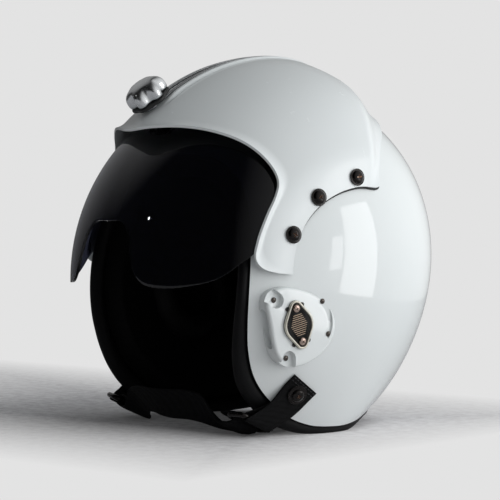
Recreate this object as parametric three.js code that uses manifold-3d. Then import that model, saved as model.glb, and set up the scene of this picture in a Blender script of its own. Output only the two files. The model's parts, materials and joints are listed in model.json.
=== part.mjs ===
// Flight helmet with a sliding smoke visor. Millimetres, +Z up; the wearer faces -Y, left is +X.
// The curved pieces lie on three surfaces: the shell's head form, the surface that the visor
// sweeps about its cross axis, and the housing outside both.

import * as THREE from 'three';
import { mergeVertices } from 'three/addons/utils/BufferGeometryUtils.js';
import Module from 'manifold-3d';

const wasm = await Module();
wasm.setup();
const deg = THREE.MathUtils.degToRad;

// Head form: half axes of the outer shell from its centre, and the powers of its curves
const shellHalfWidth = 121;
const shellRearReach = 121;
const shellCheekReach = 150;
const shellBrowReach = 112;
const shellCrownRise = 126;
const shellNapeDrop = 152;
const shellJawDrop = 185;
const shellCentreHeight = 122;
const planPower = 2.2;
const crownPower = 2.1;
const basePower = 1.85;
const shellWall = 3.5;
// Heights, as shares of a whole reach, between which one half axis turns into the next
const browBlend = [-0.35, 0.5];
const jawBlend = [-0.1, 0.7];

// Liner and pads inside the shell
const linerThickness = 20;
const padThickness = 9;
const earPadThickness = 21;
const earPadHeight = 92;
const earPadLength = 78;
const crownPadRadius = 52;
const browPadLength = 116;
const browPadHeight = 34;
const napePadLength = 108;
const napePadHeight = 48;
const earPadPlace = [84, -16];
const crownPadLift = 85;
const browPadLift = 50;
const napePadLift = -14;
const linerGap = 1.2;
const padGap = 1.2;

// Edge roll round the face and neck openings
const rollWidth = 13.6;
const rollThickness = 11;
const rollProud = 0.6;
const restCut = 1.8;
const rollSteps = 48;
const rollSectionSteps = 10;
const innerRowShare = 0.97;

// Visor: it turns about a cross axis behind and below the shell's centre
const pivotSetback = 10.3;
const pivotDrop = 17;
const pivotHeight = shellCentreHeight - pivotDrop;
const visorCrownGap = 5;
const visorRadius = shellCrownRise + pivotDrop + visorCrownGap;
const visorSideGap = 3.3;
const visorHalfSpread = shellHalfWidth + visorSideGap;
const visorPower = 2.4;
const visorWall = 2;

// Visor housing
const housingRise = 10.5;
const housingRadius = visorRadius + housingRise;
const housingSideGap = 11.1;
const housingHalfSpread = visorHalfSpread + housingSideGap;
const housingPower = 2.1;
const housingWall = 2.5;
const housingSeat = 0.8;
const wingArcRadius = 69;
const wingFadeWidth = 18;
const keelHeight = 6;
const keelHalfWidth = 17;
const lipRise = 2.6;
const lipWidth = 7;
const ridgeHeight = 2.2;
const ridgeOffset = 9.2;
const ridgeHalfWidth = 2.6;

// Visor track, carriage and lock knob
const slotWidth = 6.4;
const trackWidth = 12.4;
const trackThickness = 1.2;
const trackOverlap = 7;
const cutterTop = housingRadius + keelHeight * 3;
const stemRadius = 2.5;
const collarRadius = 14.5;
const collarHeight = 3;
const knobRadius = 13.4;
const knobHeight = 13;
// Knob section, as shares of its radius and height
const knobProfile = [[0, 0], [0.83, 0], [0.9, 0.1], [1, 0.42], [1, 0.62], [0.9, 0.83], [0.6, 0.96],
  [0, 1]];
const carriageWidth = 19;
const carriageLength = 22;
const carriageHeight = 5;

// Ear covers and their badges
const coverCentreForward = 53;
const coverDrop = 45;
const coverCentreHeight = shellCentreHeight - coverDrop;
const coverInset = 5;
const coverFace = shellHalfWidth - coverInset;
const coverToe = 0.05;
const coverTuck = 0.06;
const coverLean = deg(14.5);
const coverBevel = 2.2;
const coverSink = 34;
const coverSeat = 0.9;
const coverMiddle = [4, 2];
const pocketRadius = 5.4;
const pocketDepth = 4.6;
const grooveCentre = 9.5;
const grooveRadius = 19;
const grooveWidth = 4.8;
const grooveDepth = 1.4;
const grooveSweep = deg(46);
const handSlotLength = 28;
const handSlotWidth = 5.5;
const handSlotDepth = 2.6;
const handSlotPlace = 4;
const handSlotDrop = 7;
const coverScrewRadius = 1.9;
const coverScrewRise = 1;
const badgeCentre = [1.1, 2];
const badgeHeight = 34;
const badgeWidth = 23;
const badgeEndRadius = 5;
const badgeEndReach = badgeHeight / 2 - badgeEndRadius;
const badgeRimWidth = 1.7;
const badgeThickness = 1.6;
const badgeRecess = 0.7;
const badgeScrewRise = 1.4;
const badgeScrewLength = 6;
const badgeScrewPlaces = [-11.6, 11.6];
const gasketThickness = 0.5;
const gasketLugRadius = 1.6;
const gasketLug = [6, 12.6];

// Fasteners
const housingScrewRadius = 6;
const housingScrewRise = 3.2;
const badgeScrewRadius = 2.7;
const shankShare = 0.42;
const headEdgeShare = 0.28;
const screwBite = 2.5;

// Straps and rings
const webWidth = 24;
const webThickness = 2;
const tabWidth = 24;
const tabScrewRadius = 4.4;
const tabScrewRise = 2;
const tabScrewLength = 8;
const tabBoreLength = 40;
const tabRise = 1.3;
const washerRadius = 7.2;
const washerThickness = 1;
const ringWire = 1.9;
const ringWidth = 31;
const ringDepth = 15;
const ringBend = 4;
const ringBarInset = 34;
const ringBarDrop = 111;
const ringBarPlace = [shellHalfWidth - ringBarInset, -65, shellCentreHeight - ringBarDrop];
const ringBarWay = [-0.1, 0.9, -0.42];
const ringInward = [-0.93, -0.3, 0];
const strapFoldLength = 12;
const tabFoldTurn = deg(198);

// Running and seating gaps
const fit = 0.3;

const shellCentre = new THREE.Vector3(0, 0, shellCentreHeight);

// Curve tables are pairs of degrees, chosen by hand and joined by a smooth curve.
// The shell's rim: turn from the front, and lift over the shell's centre, from brow to nape.
const rimAngles = [[0, 38.5], [14, 38.2], [27, 36.8], [38, 33.8], [46, 27.5], [50, 18.5], [51.2, 9],
  [51.4, 0], [51, -9], [50.5, -18], [50.5, -26], [52, -33.5], [56, -40], [64, -47], [76, -51.5],
  [90, -53], [104, -53.8], [119, -54.3], [134, -54.2], [149, -53.2], [165, -52.2], [180, -51.8]];
// The housing's front lip and rear edge: place across the head, and lift about the visor's axis.
const lipAngles = [[0, 41], [8, 42.6], [18, 45.4], [28, 47.8], [38, 49.3], [46, 48.2], [51.3, 44.6],
  [53.4, 38], [53.9, 28], [53.9, 18], [54.2, 11.5], [56.6, 7.9], [60.5, 6.4]];
const rearAngles = [[0, 116], [8, 115.7], [22, 114], [36, 110.6], [49, 104.5], [59, 99.6], [64, 97],
  [64.4, 80], [64.2, 64], [63.8, 48], [63.8, 34], [64.1, 20], [64.8, 6.3]];
// The visor's lower edge, with its nose arch and two lobes, and its upper edge under the housing.
const visorLowAngles = [[0, 17.2], [5.5, 17], [9.4, 13.6], [11.6, 8.5], [14, 3.4], [18.5, 0.2],
  [26, -0.6], [34, 0], [41.5, 1.6], [47, 4.6], [51, 8.8], [54.6, 13.5], [56.6, 20]];
const visorHighAngles = [[0, 57], [5.5, 57], [11, 57], [16.5, 57], [22, 56.7], [28, 56.1], [34, 55],
  [40, 53.2], [45.5, 50.6], [50, 47.6], [53.4, 44], [55.6, 39.5], [56.6, 34]];

const polarTurn = deg(45);
const keelFade = [deg(114), deg(92)];
const rearFadeMiddle = deg(15);
const rearFadeSide = deg(9);
const rearLift = deg(116);
const rearLiftFall = deg(19);
const rearLiftPower = 1.8;
const wingAcross = deg(64);
const rearDropStart = deg(80);
const rearDropSpan = deg(43);
const rearDropShare = 0.155;
const rearDropPower = 2.6;
const ridgeStart = deg(50);
const ridgeEnd = deg(108);
const ridgeFade = deg(7);
const slotStart = deg(48.6);
const slotEnd = deg(90.6);
const knobLift = deg(50.5);

const wingScrewAcross = 61.9;
const wingScrewLifts = [27.5, 53, 81];
const linerShortfallShare = 0.012;
const headSteps = 2;
const screwSides = 12;
const smallScrewSides = 8;
const smallScrewLimit = 3;
const boreSides = 8;
const smallBoreSides = 6;
const smallBoreLimit = 1.6;

// Meshing: rows and columns of the curved sheets, and the steps of the turned pieces
const weldTolerance = 1e-4;
const normalStep = deg(0.5);
const steepShare = 0.85;
const shellRows = 11;
const shellColumns = 48;
const linerRows = 8;
const linerColumns = 36;
const lensRows = 7;
const lensColumns = 34;
const housingRows = 11;
const housingLipRows = 3;
const housingSideColumns = 12;
const lipShareLimit = 0.4;
const trackRows = 16;
const trackColumns = 4;
const guideRows = 9;
const carriageRows = 4;
const turnedSteps = 24;
const collarSteps = 20;
const stemSteps = 16;
const washerSteps = 12;
const fluteSteps = 10;
const arcSegments = 20;
const pocketSteps = 12;
const grooveSegments = 6;
const badgeSegments = 4;
const lugSteps = 8;
const seatPatchSteps = 5;
const wireSteps = 6;
const bendSteps = 3;
const foldSteps = 6;
const tabSteps = 18;
const chinSteps = 54;

// Strips beside the visor's path
const guideStart = deg(14);
const guideEnd = deg(80);
const guideRadius = 83;
const guideWidth = 5;
const guideHeight = 2.4;

// Lock knob and carriage shares
const carriageEdgeShare = 0.7;
const stemShare = 0.55;
const fluteCount = 6;
const fluteRadius = 4;
const fluteReach = 16.2;

// Cushion sections: share of the half size, and share of the thickness
const cushionProfile = [[0, 0], [0.6, 0], [0.93, 0], [1, 0.3], [0.985, 0.62], [0.9, 0.9],
  [0.8, 1], [0.73, 0.9], [0.66, 1.02], [0.36, 1.1], [0, 1.12]];
const cushionPower = 2.6;
const cushionSteps = 22;
const earProfile = [[0.6, 0], [0.94, 0], [1, 0.3], [0.985, 0.65], [0.9, 0.93], [0.78, 1],
  [0.66, 0.93], [0.57, 0.65], [0.555, 0.3]];
const earSteps = 32;
const earTufts = 8;
const earTuftShare = 0.08;

// Ear cover outline, rearward and upward of its centre along its leaning axis
const coverOutline = [[-19.5, 12], [-19.3, 22], [-15, 28.2], [-6, 29.8], [7, 25.5], [21, 16.5],
  [30, 5], [31.8, -6], [27, -16], [15, -24], [0, -26.8], [-12.5, -24], [-18.8, -14]];
const coverSteps = 36;
const coverEdgeShare = 0.3;
// Turns and lifts of the shell under a cover
const coverSeatTurns = [42, 90];
const coverSeatLifts = [-46, 4];
const coverPockets = [[-11.5, 22.5], [-10.5, -19]];
// Cover screws: place, depth of the floor they stand on, and length
const coverScrewPlaces = [[-11.5, 22.5, pocketDepth, 3.4], [-10.5, -19, pocketDepth, 3.4],
  [24.5, 11.7, grooveDepth, 4.5], [24.5, -11.7, grooveDepth, 4.5]];

// Strap tab: turn and lift of its end, its screw and where it crosses the rim
const tabEndPlace = [70.6, -38];
const tabScrewPlace = [67.2, -40.5];
const tabRimPlace = [61.3, -44.4];
const tabEndWay = [-0.08, 0.81, -0.58];
// Chin strap centres and width ways between its two folds
const chinDrop = 104.5;
const chinPath = [[40, -80, 0], [0, -87, 1], [-40, -81, 0]];
const chinWays = [[-0.1, 0.35, -0.9], [0, 0.45, -0.85], [0.1, 0.6, -0.75]];

const gloss = { roughness: 0.12, metalness: 0 };
const shellPaint = new THREE.MeshStandardMaterial({ color: '#e4e7e7', ...gloss });
const housingPaint = new THREE.MeshStandardMaterial({ color: '#e6e9e9', ...gloss });
const smoke = new THREE.MeshStandardMaterial({ color: '#15161a', roughness: 0.05, metalness: 0 });
const foam = new THREE.MeshStandardMaterial({ color: '#1a1a1b', roughness: 0.9, metalness: 0 });
const leather = new THREE.MeshStandardMaterial({ color: '#1c1b1b', roughness: 0.55, metalness: 0 });
const webbing = new THREE.MeshStandardMaterial({ color: '#161617', roughness: 0.85, metalness: 0 });
const chrome = new THREE.MeshStandardMaterial({ color: '#c9cbcc', roughness: 0.15, metalness: 1 });
const blackMetal = new THREE.MeshStandardMaterial({ color: '#26221f', roughness: 0.4, metalness: 0.8 });
const blackPlastic = new THREE.MeshStandardMaterial({ color: '#141414', roughness: 0.35, metalness: 0 });

const up = new THREE.Vector3(0, 0, 1);
const ahead = new THREE.Vector3(0, -1, 0);

function smooth(low, high, value) {
  const t = THREE.MathUtils.clamp((value - low) / (high - low), 0, 1);
  return t * t * (3 - 2 * t);
}

// A smooth curve through a table of pairs, read at t from 0 to 1
function tableCurve(pairs) {
  const points = pairs.map(([across, lift]) => new THREE.Vector3(deg(across), deg(lift), 0));
  const first = points[0];
  const mirrored = new THREE.Vector3(-points[1].x, points[1].y, 0);
  const last = points[points.length - 1];
  const beyond = last.clone().multiplyScalar(2).sub(points[points.length - 2]);
  const run = [mirrored, first, ...points.slice(1), beyond];
  return (t) => {
    const place = THREE.MathUtils.clamp(t, 0, 1) * (points.length - 1);
    const i = Math.min(Math.floor(place), points.length - 2);
    const u = place - i;
    const [a, b, c, d] = run.slice(i, i + 4);
    const mix = (key) => 0.5 * (2 * b[key] + (c[key] - a[key]) * u
      + (2 * a[key] - 5 * b[key] + 4 * c[key] - d[key]) * u * u
      + (3 * b[key] - a[key] - 3 * c[key] + d[key]) * u * u * u);
    return [mix('x'), mix('y')];
  };
}

const rimCurve = tableCurve(rimAngles);
const lipCurve = tableCurve(lipAngles);
const rearCurve = tableCurve(rearAngles);
const visorLow = tableCurve(visorLowAngles);
const visorHigh = tableCurve(visorHighAngles);

// Direction from the shell's centre: turn is measured from the front, towards the wearer's left
function heading(turn, lift) {
  return new THREE.Vector3(Math.sin(turn) * Math.cos(lift), -Math.cos(turn) * Math.cos(lift),
    Math.sin(lift));
}

// Distance from the shell's centre to the head form along a direction, depth below the outside
function skinReach(dir, depth) {
  const front = THREE.MathUtils.lerp(shellCheekReach, shellBrowReach, smooth(...browBlend, dir.z));
  const reach = (dir.y > 0 ? shellRearReach : front) - depth;
  const level = Math.max(Math.hypot(dir.x, dir.y), Number.EPSILON);
  const drop = THREE.MathUtils.lerp(shellJawDrop, shellNapeDrop, smooth(...jawBlend, dir.y / level));
  const rise = (dir.z > 0 ? shellCrownRise : drop) - depth;
  const power = dir.z > 0 ? crownPower : basePower;
  const plan = (Math.abs(dir.x) / (shellHalfWidth - depth)) ** planPower
    + (Math.abs(dir.y) / reach) ** planPower;
  return (plan ** (power / planPower) + (Math.abs(dir.z) / rise) ** power) ** (-1 / power);
}

function onSkin(dir, depth) {
  return dir.clone().multiplyScalar(skinReach(dir, depth)).add(shellCentre);
}

function skinNormal(dir) {
  const side = Math.abs(dir.z) > steepShare ? new THREE.Vector3(1, 0, 0) : up;
  const u = new THREE.Vector3().crossVectors(side, dir).normalize();
  const v = new THREE.Vector3().crossVectors(dir, u);
  const step = normalStep;
  const at = (a, b) => onSkin(dir.clone().addScaledVector(u, a).addScaledVector(v, b).normalize(), 0);
  const alongU = at(step, 0).sub(at(-step, 0));
  const alongV = at(0, step).sub(at(0, -step));
  return new THREE.Vector3().crossVectors(alongU, alongV).normalize();
}

// A turned surface about the visor's cross axis: across is its place from the middle to a side
function turned(radius, halfSpread, power, across, lift) {
  const x = halfSpread * Math.sign(across) * Math.abs(Math.sin(across)) ** (2 / power);
  const rho = radius * Math.abs(Math.cos(across)) ** (2 / power);
  const point = new THREE.Vector3(x, pivotSetback - rho * Math.cos(lift),
    pivotHeight + rho * Math.sin(lift));
  return { point, rho };
}

function onVisor(across, lift, out) {
  return turned(visorRadius + out, visorHalfSpread + out, visorPower, across, lift).point;
}

// The housing stands over the visor in front and comes down to the shell at its rear and sides
function onHousing(across, lift, out) {
  const back = Math.max(lift - rearDropStart, 0) / rearDropSpan;
  const radius = housingRadius * (1 - rearDropShare * back ** rearDropPower);
  const { point, rho } = turned(radius, housingHalfSpread, housingPower, across, lift);
  const arm = point.clone().sub(shellCentre);
  const dir = arm.clone().normalize();
  const seat = skinReach(dir, 0) + housingSeat + housingWall;
  const rearLimit = rearLift - rearLiftFall * (Math.abs(across) / wingAcross) ** rearLiftPower;
  const rearFade = THREE.MathUtils.lerp(rearFadeMiddle, rearFadeSide,
    Math.min(Math.abs(across) / wingAcross, 1));
  const stand = smooth(wingArcRadius, wingArcRadius + wingFadeWidth, rho)
    * smooth(0, rearFade, rearLimit - lift);
  const keel = keelHeight * Math.exp(-((point.x / keelHalfWidth) ** 2))
    * smooth(keelFade[0], keelFade[1], lift);
  const along = smooth(ridgeStart, ridgeStart + ridgeFade, lift)
    * smooth(ridgeEnd, ridgeEnd - ridgeFade, lift);
  const fromRidge = Math.abs(Math.abs(point.x) - ridgeOffset) / ridgeHalfWidth;
  const ridge = out < 0 ? 0 : ridgeHeight * along * smooth(1, 0, fromRidge);
  const reach = seat + stand * (arm.length() - seat) + keel + ridge + out;
  return dir.multiplyScalar(reach).add(shellCentre);
}

// Place across the housing at a distance from its middle line
function housingAcross(x) {
  return Math.sign(x) * Math.asin((Math.abs(x) / housingHalfSpread) ** (housingPower / 2));
}

// A closed mesh from a list of triangles' corner points
function meshFrom(corners) {
  const geometry = new THREE.BufferGeometry().setFromPoints(corners);
  const welded = mergeVertices(geometry, weldTolerance);
  const index = welded.index.array;
  const kept = [];
  for (let i = 0; i < index.length; i += 3) {
    const [a, b, c] = [index[i], index[i + 1], index[i + 2]];
    if (a !== b && b !== c && c !== a) kept.push(a, b, c);
  }
  welded.setIndex(kept);
  return facedOut(welded);
}

// Turns every face round where the list was wound inwards
function facedOut(geometry) {
  const { array } = geometry.index;
  const [a, b, c] = [0, 1, 2].map(() => new THREE.Vector3());
  let volume = 0;
  for (let i = 0; i < array.length; i += 3) {
    a.fromBufferAttribute(geometry.attributes.position, array[i]);
    b.fromBufferAttribute(geometry.attributes.position, array[i + 1]);
    c.fromBufferAttribute(geometry.attributes.position, array[i + 2]);
    volume += a.dot(b.cross(c));
  }
  if (volume < 0) {
    for (let i = 0; i < array.length; i += 3) [array[i + 1], array[i + 2]] = [array[i + 2], array[i + 1]];
  }
  return geometry;
}

function quad(list, a, b, c, d) {
  list.push(a, b, c, a, c, d);
}

// A walled sheet: at(i, j, side) gives its outer (side 0) and inner (side 1) points
function sheetSolid(rows, columns, at, closed) {
  const corners = [];
  const grid = [0, 1].map((side) => {
    const lines = [];
    for (let i = 0; i <= rows; i += 1) {
      const line = [];
      for (let j = 0; j <= columns; j += 1) {
        line.push(closed && j === columns ? line[0] : at(i, j, side));
      }
      lines.push(line);
    }
    return lines;
  });
  const [outer, inner] = grid;
  for (let i = 0; i < rows; i += 1) {
    for (let j = 0; j < columns; j += 1) {
      const patch = (g) => [g[i][j], g[i + 1][j], g[i + 1][j + 1], g[i][j + 1]];
      const [a, b, c, d] = patch(outer);
      const [e, f, g, h] = patch(inner);
      // The split of each patch is mirrored on the other half
      if (j < columns / 2) {
        quad(corners, a, b, c, d);
        quad(corners, g, f, e, h);
      } else {
        quad(corners, b, c, d, a);
        quad(corners, f, e, h, g);
      }
    }
  }
  for (let j = 0; j < columns; j += 1) {
    quad(corners, outer[rows][j], inner[rows][j], inner[rows][j + 1], outer[rows][j + 1]);
    if (!closed) quad(corners, outer[0][j + 1], inner[0][j + 1], inner[0][j], outer[0][j]);
  }
  if (!closed) {
    for (let i = 0; i < rows; i += 1) {
      quad(corners, outer[i + 1][0], outer[i][0], inner[i][0], inner[i + 1][0]);
      quad(corners, outer[i][columns], outer[i + 1][columns], inner[i + 1][columns],
        inner[i][columns]);
    }
  }
  return meshFrom(corners);
}

// A solid through a run of like rings: a closed run joins its ends, an open one is capped
function ringSolid(rings, closedRun) {
  const corners = [];
  const count = rings[0].length;
  const last = closedRun ? rings.length : rings.length - 1;
  for (let i = 0; i < last; i += 1) {
    const here = rings[i];
    const next = rings[(i + 1) % rings.length];
    for (let j = 0; j < count; j += 1) {
      const k = (j + 1) % count;
      quad(corners, here[j], here[k], next[k], next[j]);
    }
  }
  if (!closedRun) {
    [rings[0], rings[rings.length - 1]].forEach((ring, end) => {
      const centre = ring.reduce((sum, p) => sum.add(p), new THREE.Vector3());
      centre.divideScalar(count);
      for (let j = 0; j < count; j += 1) {
        const k = (j + 1) % count;
        if (end === 0) corners.push(centre, ring[k], ring[j]);
        else corners.push(centre, ring[j], ring[k]);
      }
    });
  }
  return meshFrom(corners);
}

function toSolid(geometry) {
  const merged = mergeVertices(stripped(geometry), weldTolerance);
  return new wasm.Manifold(new wasm.Mesh({
    numProp: 3,
    vertProperties: new Float32Array(merged.attributes.position.array),
    triVerts: new Uint32Array(merged.index.array),
  }));
}

function stripped(geometry) {
  const copy = geometry.clone();
  copy.deleteAttribute('normal');
  copy.deleteAttribute('uv');
  return copy;
}

function fromSolid(solid) {
  const mesh = solid.getMesh();
  const geometry = new THREE.BufferGeometry();
  geometry.setAttribute('position', new THREE.BufferAttribute(mesh.vertProperties, 3));
  geometry.setIndex(new THREE.BufferAttribute(mesh.triVerts, 1));
  return geometry;
}

function cut(geometry, ...tools) {
  let solid = toSolid(geometry);
  tools.forEach((tool) => {
    solid = solid.subtract(toSolid(tool));
  });
  return fromSolid(solid);
}

function join(geometry, ...others) {
  let solid = toSolid(geometry);
  others.forEach((other) => {
    solid = solid.add(toSolid(other));
  });
  return fromSolid(solid);
}

// A frame whose Z is the given normal and whose Y leans towards the given way
function seatFrame(origin, normal, way) {
  const z = normal.clone().normalize();
  const x = new THREE.Vector3().crossVectors(way, z).normalize();
  const y = new THREE.Vector3().crossVectors(z, x);
  return new THREE.Matrix4().makeBasis(x, y, z).setPosition(origin);
}

const group = new THREE.Group();

function addPiece(name, geometry, material, frame) {
  const mesh = new THREE.Mesh(geometry, material);
  mesh.name = name;
  if (frame) {
    frame.decompose(mesh.position, mesh.quaternion, mesh.scale);
  }
  group.add(mesh);
  return mesh;
}

const sides = [['left', 1], ['right', -1]];

// The rim loop, once round from the brow, by the wearer's left side, the nape and the right side
function rimHeading(share) {
  const half = share <= 0.5 ? share * 2 : (1 - share) * 2;
  const [turn, lift] = rimCurve(half);
  return heading(share <= 0.5 ? turn : -turn, lift);
}

const pole = heading(Math.PI, polarTurn);

function towardRim(row, share, shortfall) {
  const rim = rimHeading(share);
  const span = pole.angleTo(rim);
  const arc = span * row * (1 - shortfall);
  const side = rim.clone().addScaledVector(pole, -pole.dot(rim)).normalize();
  return pole.clone().multiplyScalar(Math.cos(arc)).addScaledVector(side, Math.sin(arc));
}

// A seat on the housing: its outside point and the way it faces
function housingSeatAt(across, lift, side) {
  const at = (a, l) => onHousing(deg(a) * side, deg(l), 0);
  const origin = at(across, lift);
  const alongAcross = at(across + 1, lift).sub(at(across - 1, lift));
  const alongLift = at(across, lift + 1).sub(at(across, lift - 1));
  const normal = new THREE.Vector3().crossVectors(alongAcross, alongLift).normalize();
  if (normal.dot(origin.clone().sub(shellCentre)) < 0) normal.negate();
  return { origin, normal };
}

// Truss head screw with a shank, its head's underside on the frame's plane
function screwGeometry(radius, rise, length) {
  const shank = radius * shankShare;
  const edge = rise * headEdgeShare;
  const profile = [new THREE.Vector2(0, -length), new THREE.Vector2(shank, -length),
    new THREE.Vector2(shank, 0), new THREE.Vector2(radius, 0)];
  for (let i = 0; i < headSteps; i += 1) {
    const turn = (i / headSteps) * Math.PI / 2;
    profile.push(new THREE.Vector2(radius * Math.cos(turn), edge + (rise - edge) * Math.sin(turn)));
  }
  profile.push(new THREE.Vector2(0, rise));
  const around = radius < smallScrewLimit ? smallScrewSides : screwSides;
  return new THREE.LatheGeometry(profile, around).rotateX(Math.PI / 2);
}

function bore(radius, length) {
  const around = radius < smallBoreLimit ? smallBoreSides : boreSides;
  return new THREE.CylinderGeometry(radius, radius, length, around).rotateX(Math.PI / 2);
}

// The screws that hold the housing: three on each wing, on one arc about the visor's axis
const housingScrews = sides.flatMap(([name, side]) => wingScrewLifts.map((lift, i) => {
  const { origin, normal } = housingSeatAt(wingScrewAcross, lift, side);
  origin.addScaledVector(normal, fit * 2);
  return { name: `housing_screw_${name}_${i + 1}`, frame: seatFrame(origin, normal, up) };
}));
const screwReach = housingWall + housingSeat + shellWall + screwBite;
const screwBores = housingScrews.map(({ frame }) => {
  const radius = housingScrewRadius * shankShare + fit;
  return bore(radius, screwReach * 4).applyMatrix4(frame);
});

// The strap screws go through the tabs, the washers and the shell
const tabSeats = sides.map(([name, side]) => {
  const dir = heading(deg(tabScrewPlace[0]) * side, deg(tabScrewPlace[1]));
  const normal = skinNormal(dir);
  const origin = onSkin(dir, 0).addScaledVector(normal, fit + tabRise + webThickness);
  return { name, side, frame: seatFrame(origin, normal, up) };
});
const tabBores = tabSeats.map(({ frame }) => bore(tabScrewRadius * shankShare + fit, tabBoreLength)
  .applyMatrix4(frame));

// Ear cover frame: Z out of its flat face, Y along its leaning front edge
function coverFrame(side) {
  const normal = new THREE.Vector3(side, -coverToe, -coverTuck).normalize();
  const way = new THREE.Vector3(0, -Math.sin(coverLean), Math.cos(coverLean));
  const origin = new THREE.Vector3(coverFace * side, -coverCentreForward, coverCentreHeight);
  return seatFrame(origin, normal, way);
}

// Bores for the cover screws that reach into the shell
const coverBores = sides.flatMap(([, side]) => coverScrewPlaces.filter(([u]) => u > 0)
  .map(([u, v]) => bore(coverScrewRadius * shankShare + fit, coverSink * 2)
    .translate(u * side, v, 0).applyMatrix4(coverFrame(side))));

function buildShell() {
  const shell = sheetSolid(shellRows, shellColumns, (i, j, side) => {
    const dir = towardRim(i / shellRows, j / shellColumns, 0);
    return onSkin(dir, side * shellWall);
  }, true);
  addPiece('outer_shell', cut(shell, ...screwBores, ...tabBores, ...coverBores), shellPaint);
}

function buildLiner() {
  const depth = shellWall + linerGap;
  const liner = sheetSolid(linerRows, linerColumns, (i, j, side) => {
    const dir = towardRim(i / linerRows, j / linerColumns, linerShortfallShare);
    return onSkin(dir, depth + side * linerThickness);
  }, true);
  addPiece('impact_liner', liner, foam);
}

// The roll: an oval run round the rim, flush with the shell's outside, flat where it rests
function buildRoll() {
  const rings = [];
  for (let i = 0; i < rollSteps; i += 1) {
    const share = i / rollSteps;
    const rim = rimHeading(share);
    const edge = onSkin(rim, 0);
    const out = skinNormal(rim);
    const back = onSkin(towardRim(innerRowShare, share, 0), 0);
    const away = edge.clone().sub(back);
    away.addScaledVector(out, -away.dot(out)).normalize();
    const ring = [];
    for (let k = 0; k < rollSectionSteps; k += 1) {
      const turn = (k / rollSectionSteps) * Math.PI * 2;
      const along = fit + rollWidth / 2 * (1 + Math.cos(turn));
      const outward = rollProud - rollThickness / 2 * (1 - Math.sin(turn));
      ring.push(edge.clone().addScaledVector(away, along).addScaledVector(out, outward));
    }
    rings.push(ring);
  }
  const floor = Math.min(...rings.flat().map((p) => p.z)) + restCut;
  rings.flat().forEach((p) => {
    p.z = Math.max(p.z, floor);
  });
  addPiece('edge_roll', ringSolid(rings, true), leather);
  return floor;
}

function buildVisor() {
  const lens = sheetSolid(lensRows, lensColumns, (i, j, side) => {
    const place = (j / lensColumns) * 2 - 1;
    const low = visorLow(Math.abs(place));
    const high = visorHigh(Math.abs(place));
    const share = i / lensRows;
    const across = THREE.MathUtils.lerp(low[0], high[0], share) * Math.sign(place || 1);
    const lift = THREE.MathUtils.lerp(low[1], high[1], share);
    return onVisor(across, lift, visorWall * (0.5 - side));
  }, false);
  addPiece('visor_lens', lens, smoke);
}

// Places from the middle line to a wing tip, close together over the ridges
function housingColumns() {
  const inner = [0, slotWidth / 2, ridgeOffset - ridgeHalfWidth, ridgeOffset,
    ridgeOffset + ridgeHalfWidth, keelHalfWidth];
  const firstTable = lipCurve(1 / (lipAngles.length - 1))[0] * (lipAngles.length - 1);
  const near = inner.map((x) => housingAcross(x) / firstTable);
  const start = near[near.length - 1];
  const half = [...near];
  for (let i = 1; i <= housingSideColumns; i += 1) {
    half.push(start + (1 - start) * (i / housingSideColumns));
  }
  return [...half.slice(1).reverse().map((v) => -v), ...half];
}

function housingSheet(rows, places, depth) {
  const lines = places.map((place) => {
    const lip = lipCurve(Math.abs(place));
    const rear = rearCurve(Math.abs(place));
    const point = (share, out) => onHousing(
      THREE.MathUtils.lerp(lip[0], rear[0], share) * Math.sign(place || 1),
      THREE.MathUtils.lerp(lip[1], rear[1], share),
      out,
    );
    const span = point(0, 0).distanceTo(point(1, 0));
    return { point, span };
  });
  return sheetSolid(rows, places.length - 1, (i, j, side) => {
    const { point, span } = lines[j];
    const lipShare = Math.min(lipWidth / span, lipShareLimit);
    const share = i <= housingLipRows ? lipShare * (i / housingLipRows)
      : lipShare + (1 - lipShare) * ((i - housingLipRows) / (rows - housingLipRows));
    const flare = lipRise * Math.max(1 - share / lipShare, 0) ** 2;
    const place = point(share, -side * depth);
    const arm = place.clone().sub(shellCentre).normalize();
    return place.addScaledVector(arm, flare);
  }, false);
}

// A cutter that runs along the middle line, turned about the visor's axis
function arcCutter(width, from, to, low, high) {
  const outline = new THREE.Shape();
  outline.absarc(0, 0, high, from, to, false);
  outline.absarc(0, 0, low, to, from, true);
  const tool = new THREE.ExtrudeGeometry(outline, {
    depth: width, bevelEnabled: false, curveSegments: arcSegments,
  });
  tool.translate(0, 0, -width / 2);
  const backward = new THREE.Vector3(0, -1, 0);
  const basis = new THREE.Matrix4().makeBasis(backward, up, new THREE.Vector3(-1, 0, 0));
  return tool.applyMatrix4(basis).translate(0, pivotSetback, pivotHeight);
}

function buildHousing() {
  const slot = arcCutter(slotWidth, slotStart, slotEnd, visorRadius + visorWall, cutterTop);
  const housing = housingSheet(housingRows, housingColumns(), housingWall);
  addPiece('visor_housing', cut(housing, slot, ...screwBores), housingPaint);
  const first = slotStart - trackOverlap / housingRadius;
  const last = slotEnd + trackOverlap / housingRadius;
  const track = sheetSolid(trackRows, trackColumns, (i, j, side) => {
    const across = housingAcross(trackWidth * (j / trackColumns - 0.5));
    const lift = THREE.MathUtils.lerp(first, last, i / trackRows);
    return onHousing(across, lift, fit + trackThickness * (1 - side));
  }, false);
  const endGap = fit * 2 / housingRadius;
  const trackSlot = arcCutter(slotWidth - fit * 2, slotStart + endGap, slotEnd - endGap,
    visorRadius + visorWall, cutterTop);
  addPiece('visor_track', cut(track, trackSlot), chrome);
  housingScrews.forEach(({ name, frame }) => {
    addPiece(name, screwGeometry(housingScrewRadius, housingScrewRise, screwReach), blackMetal, frame);
  });
}

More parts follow.
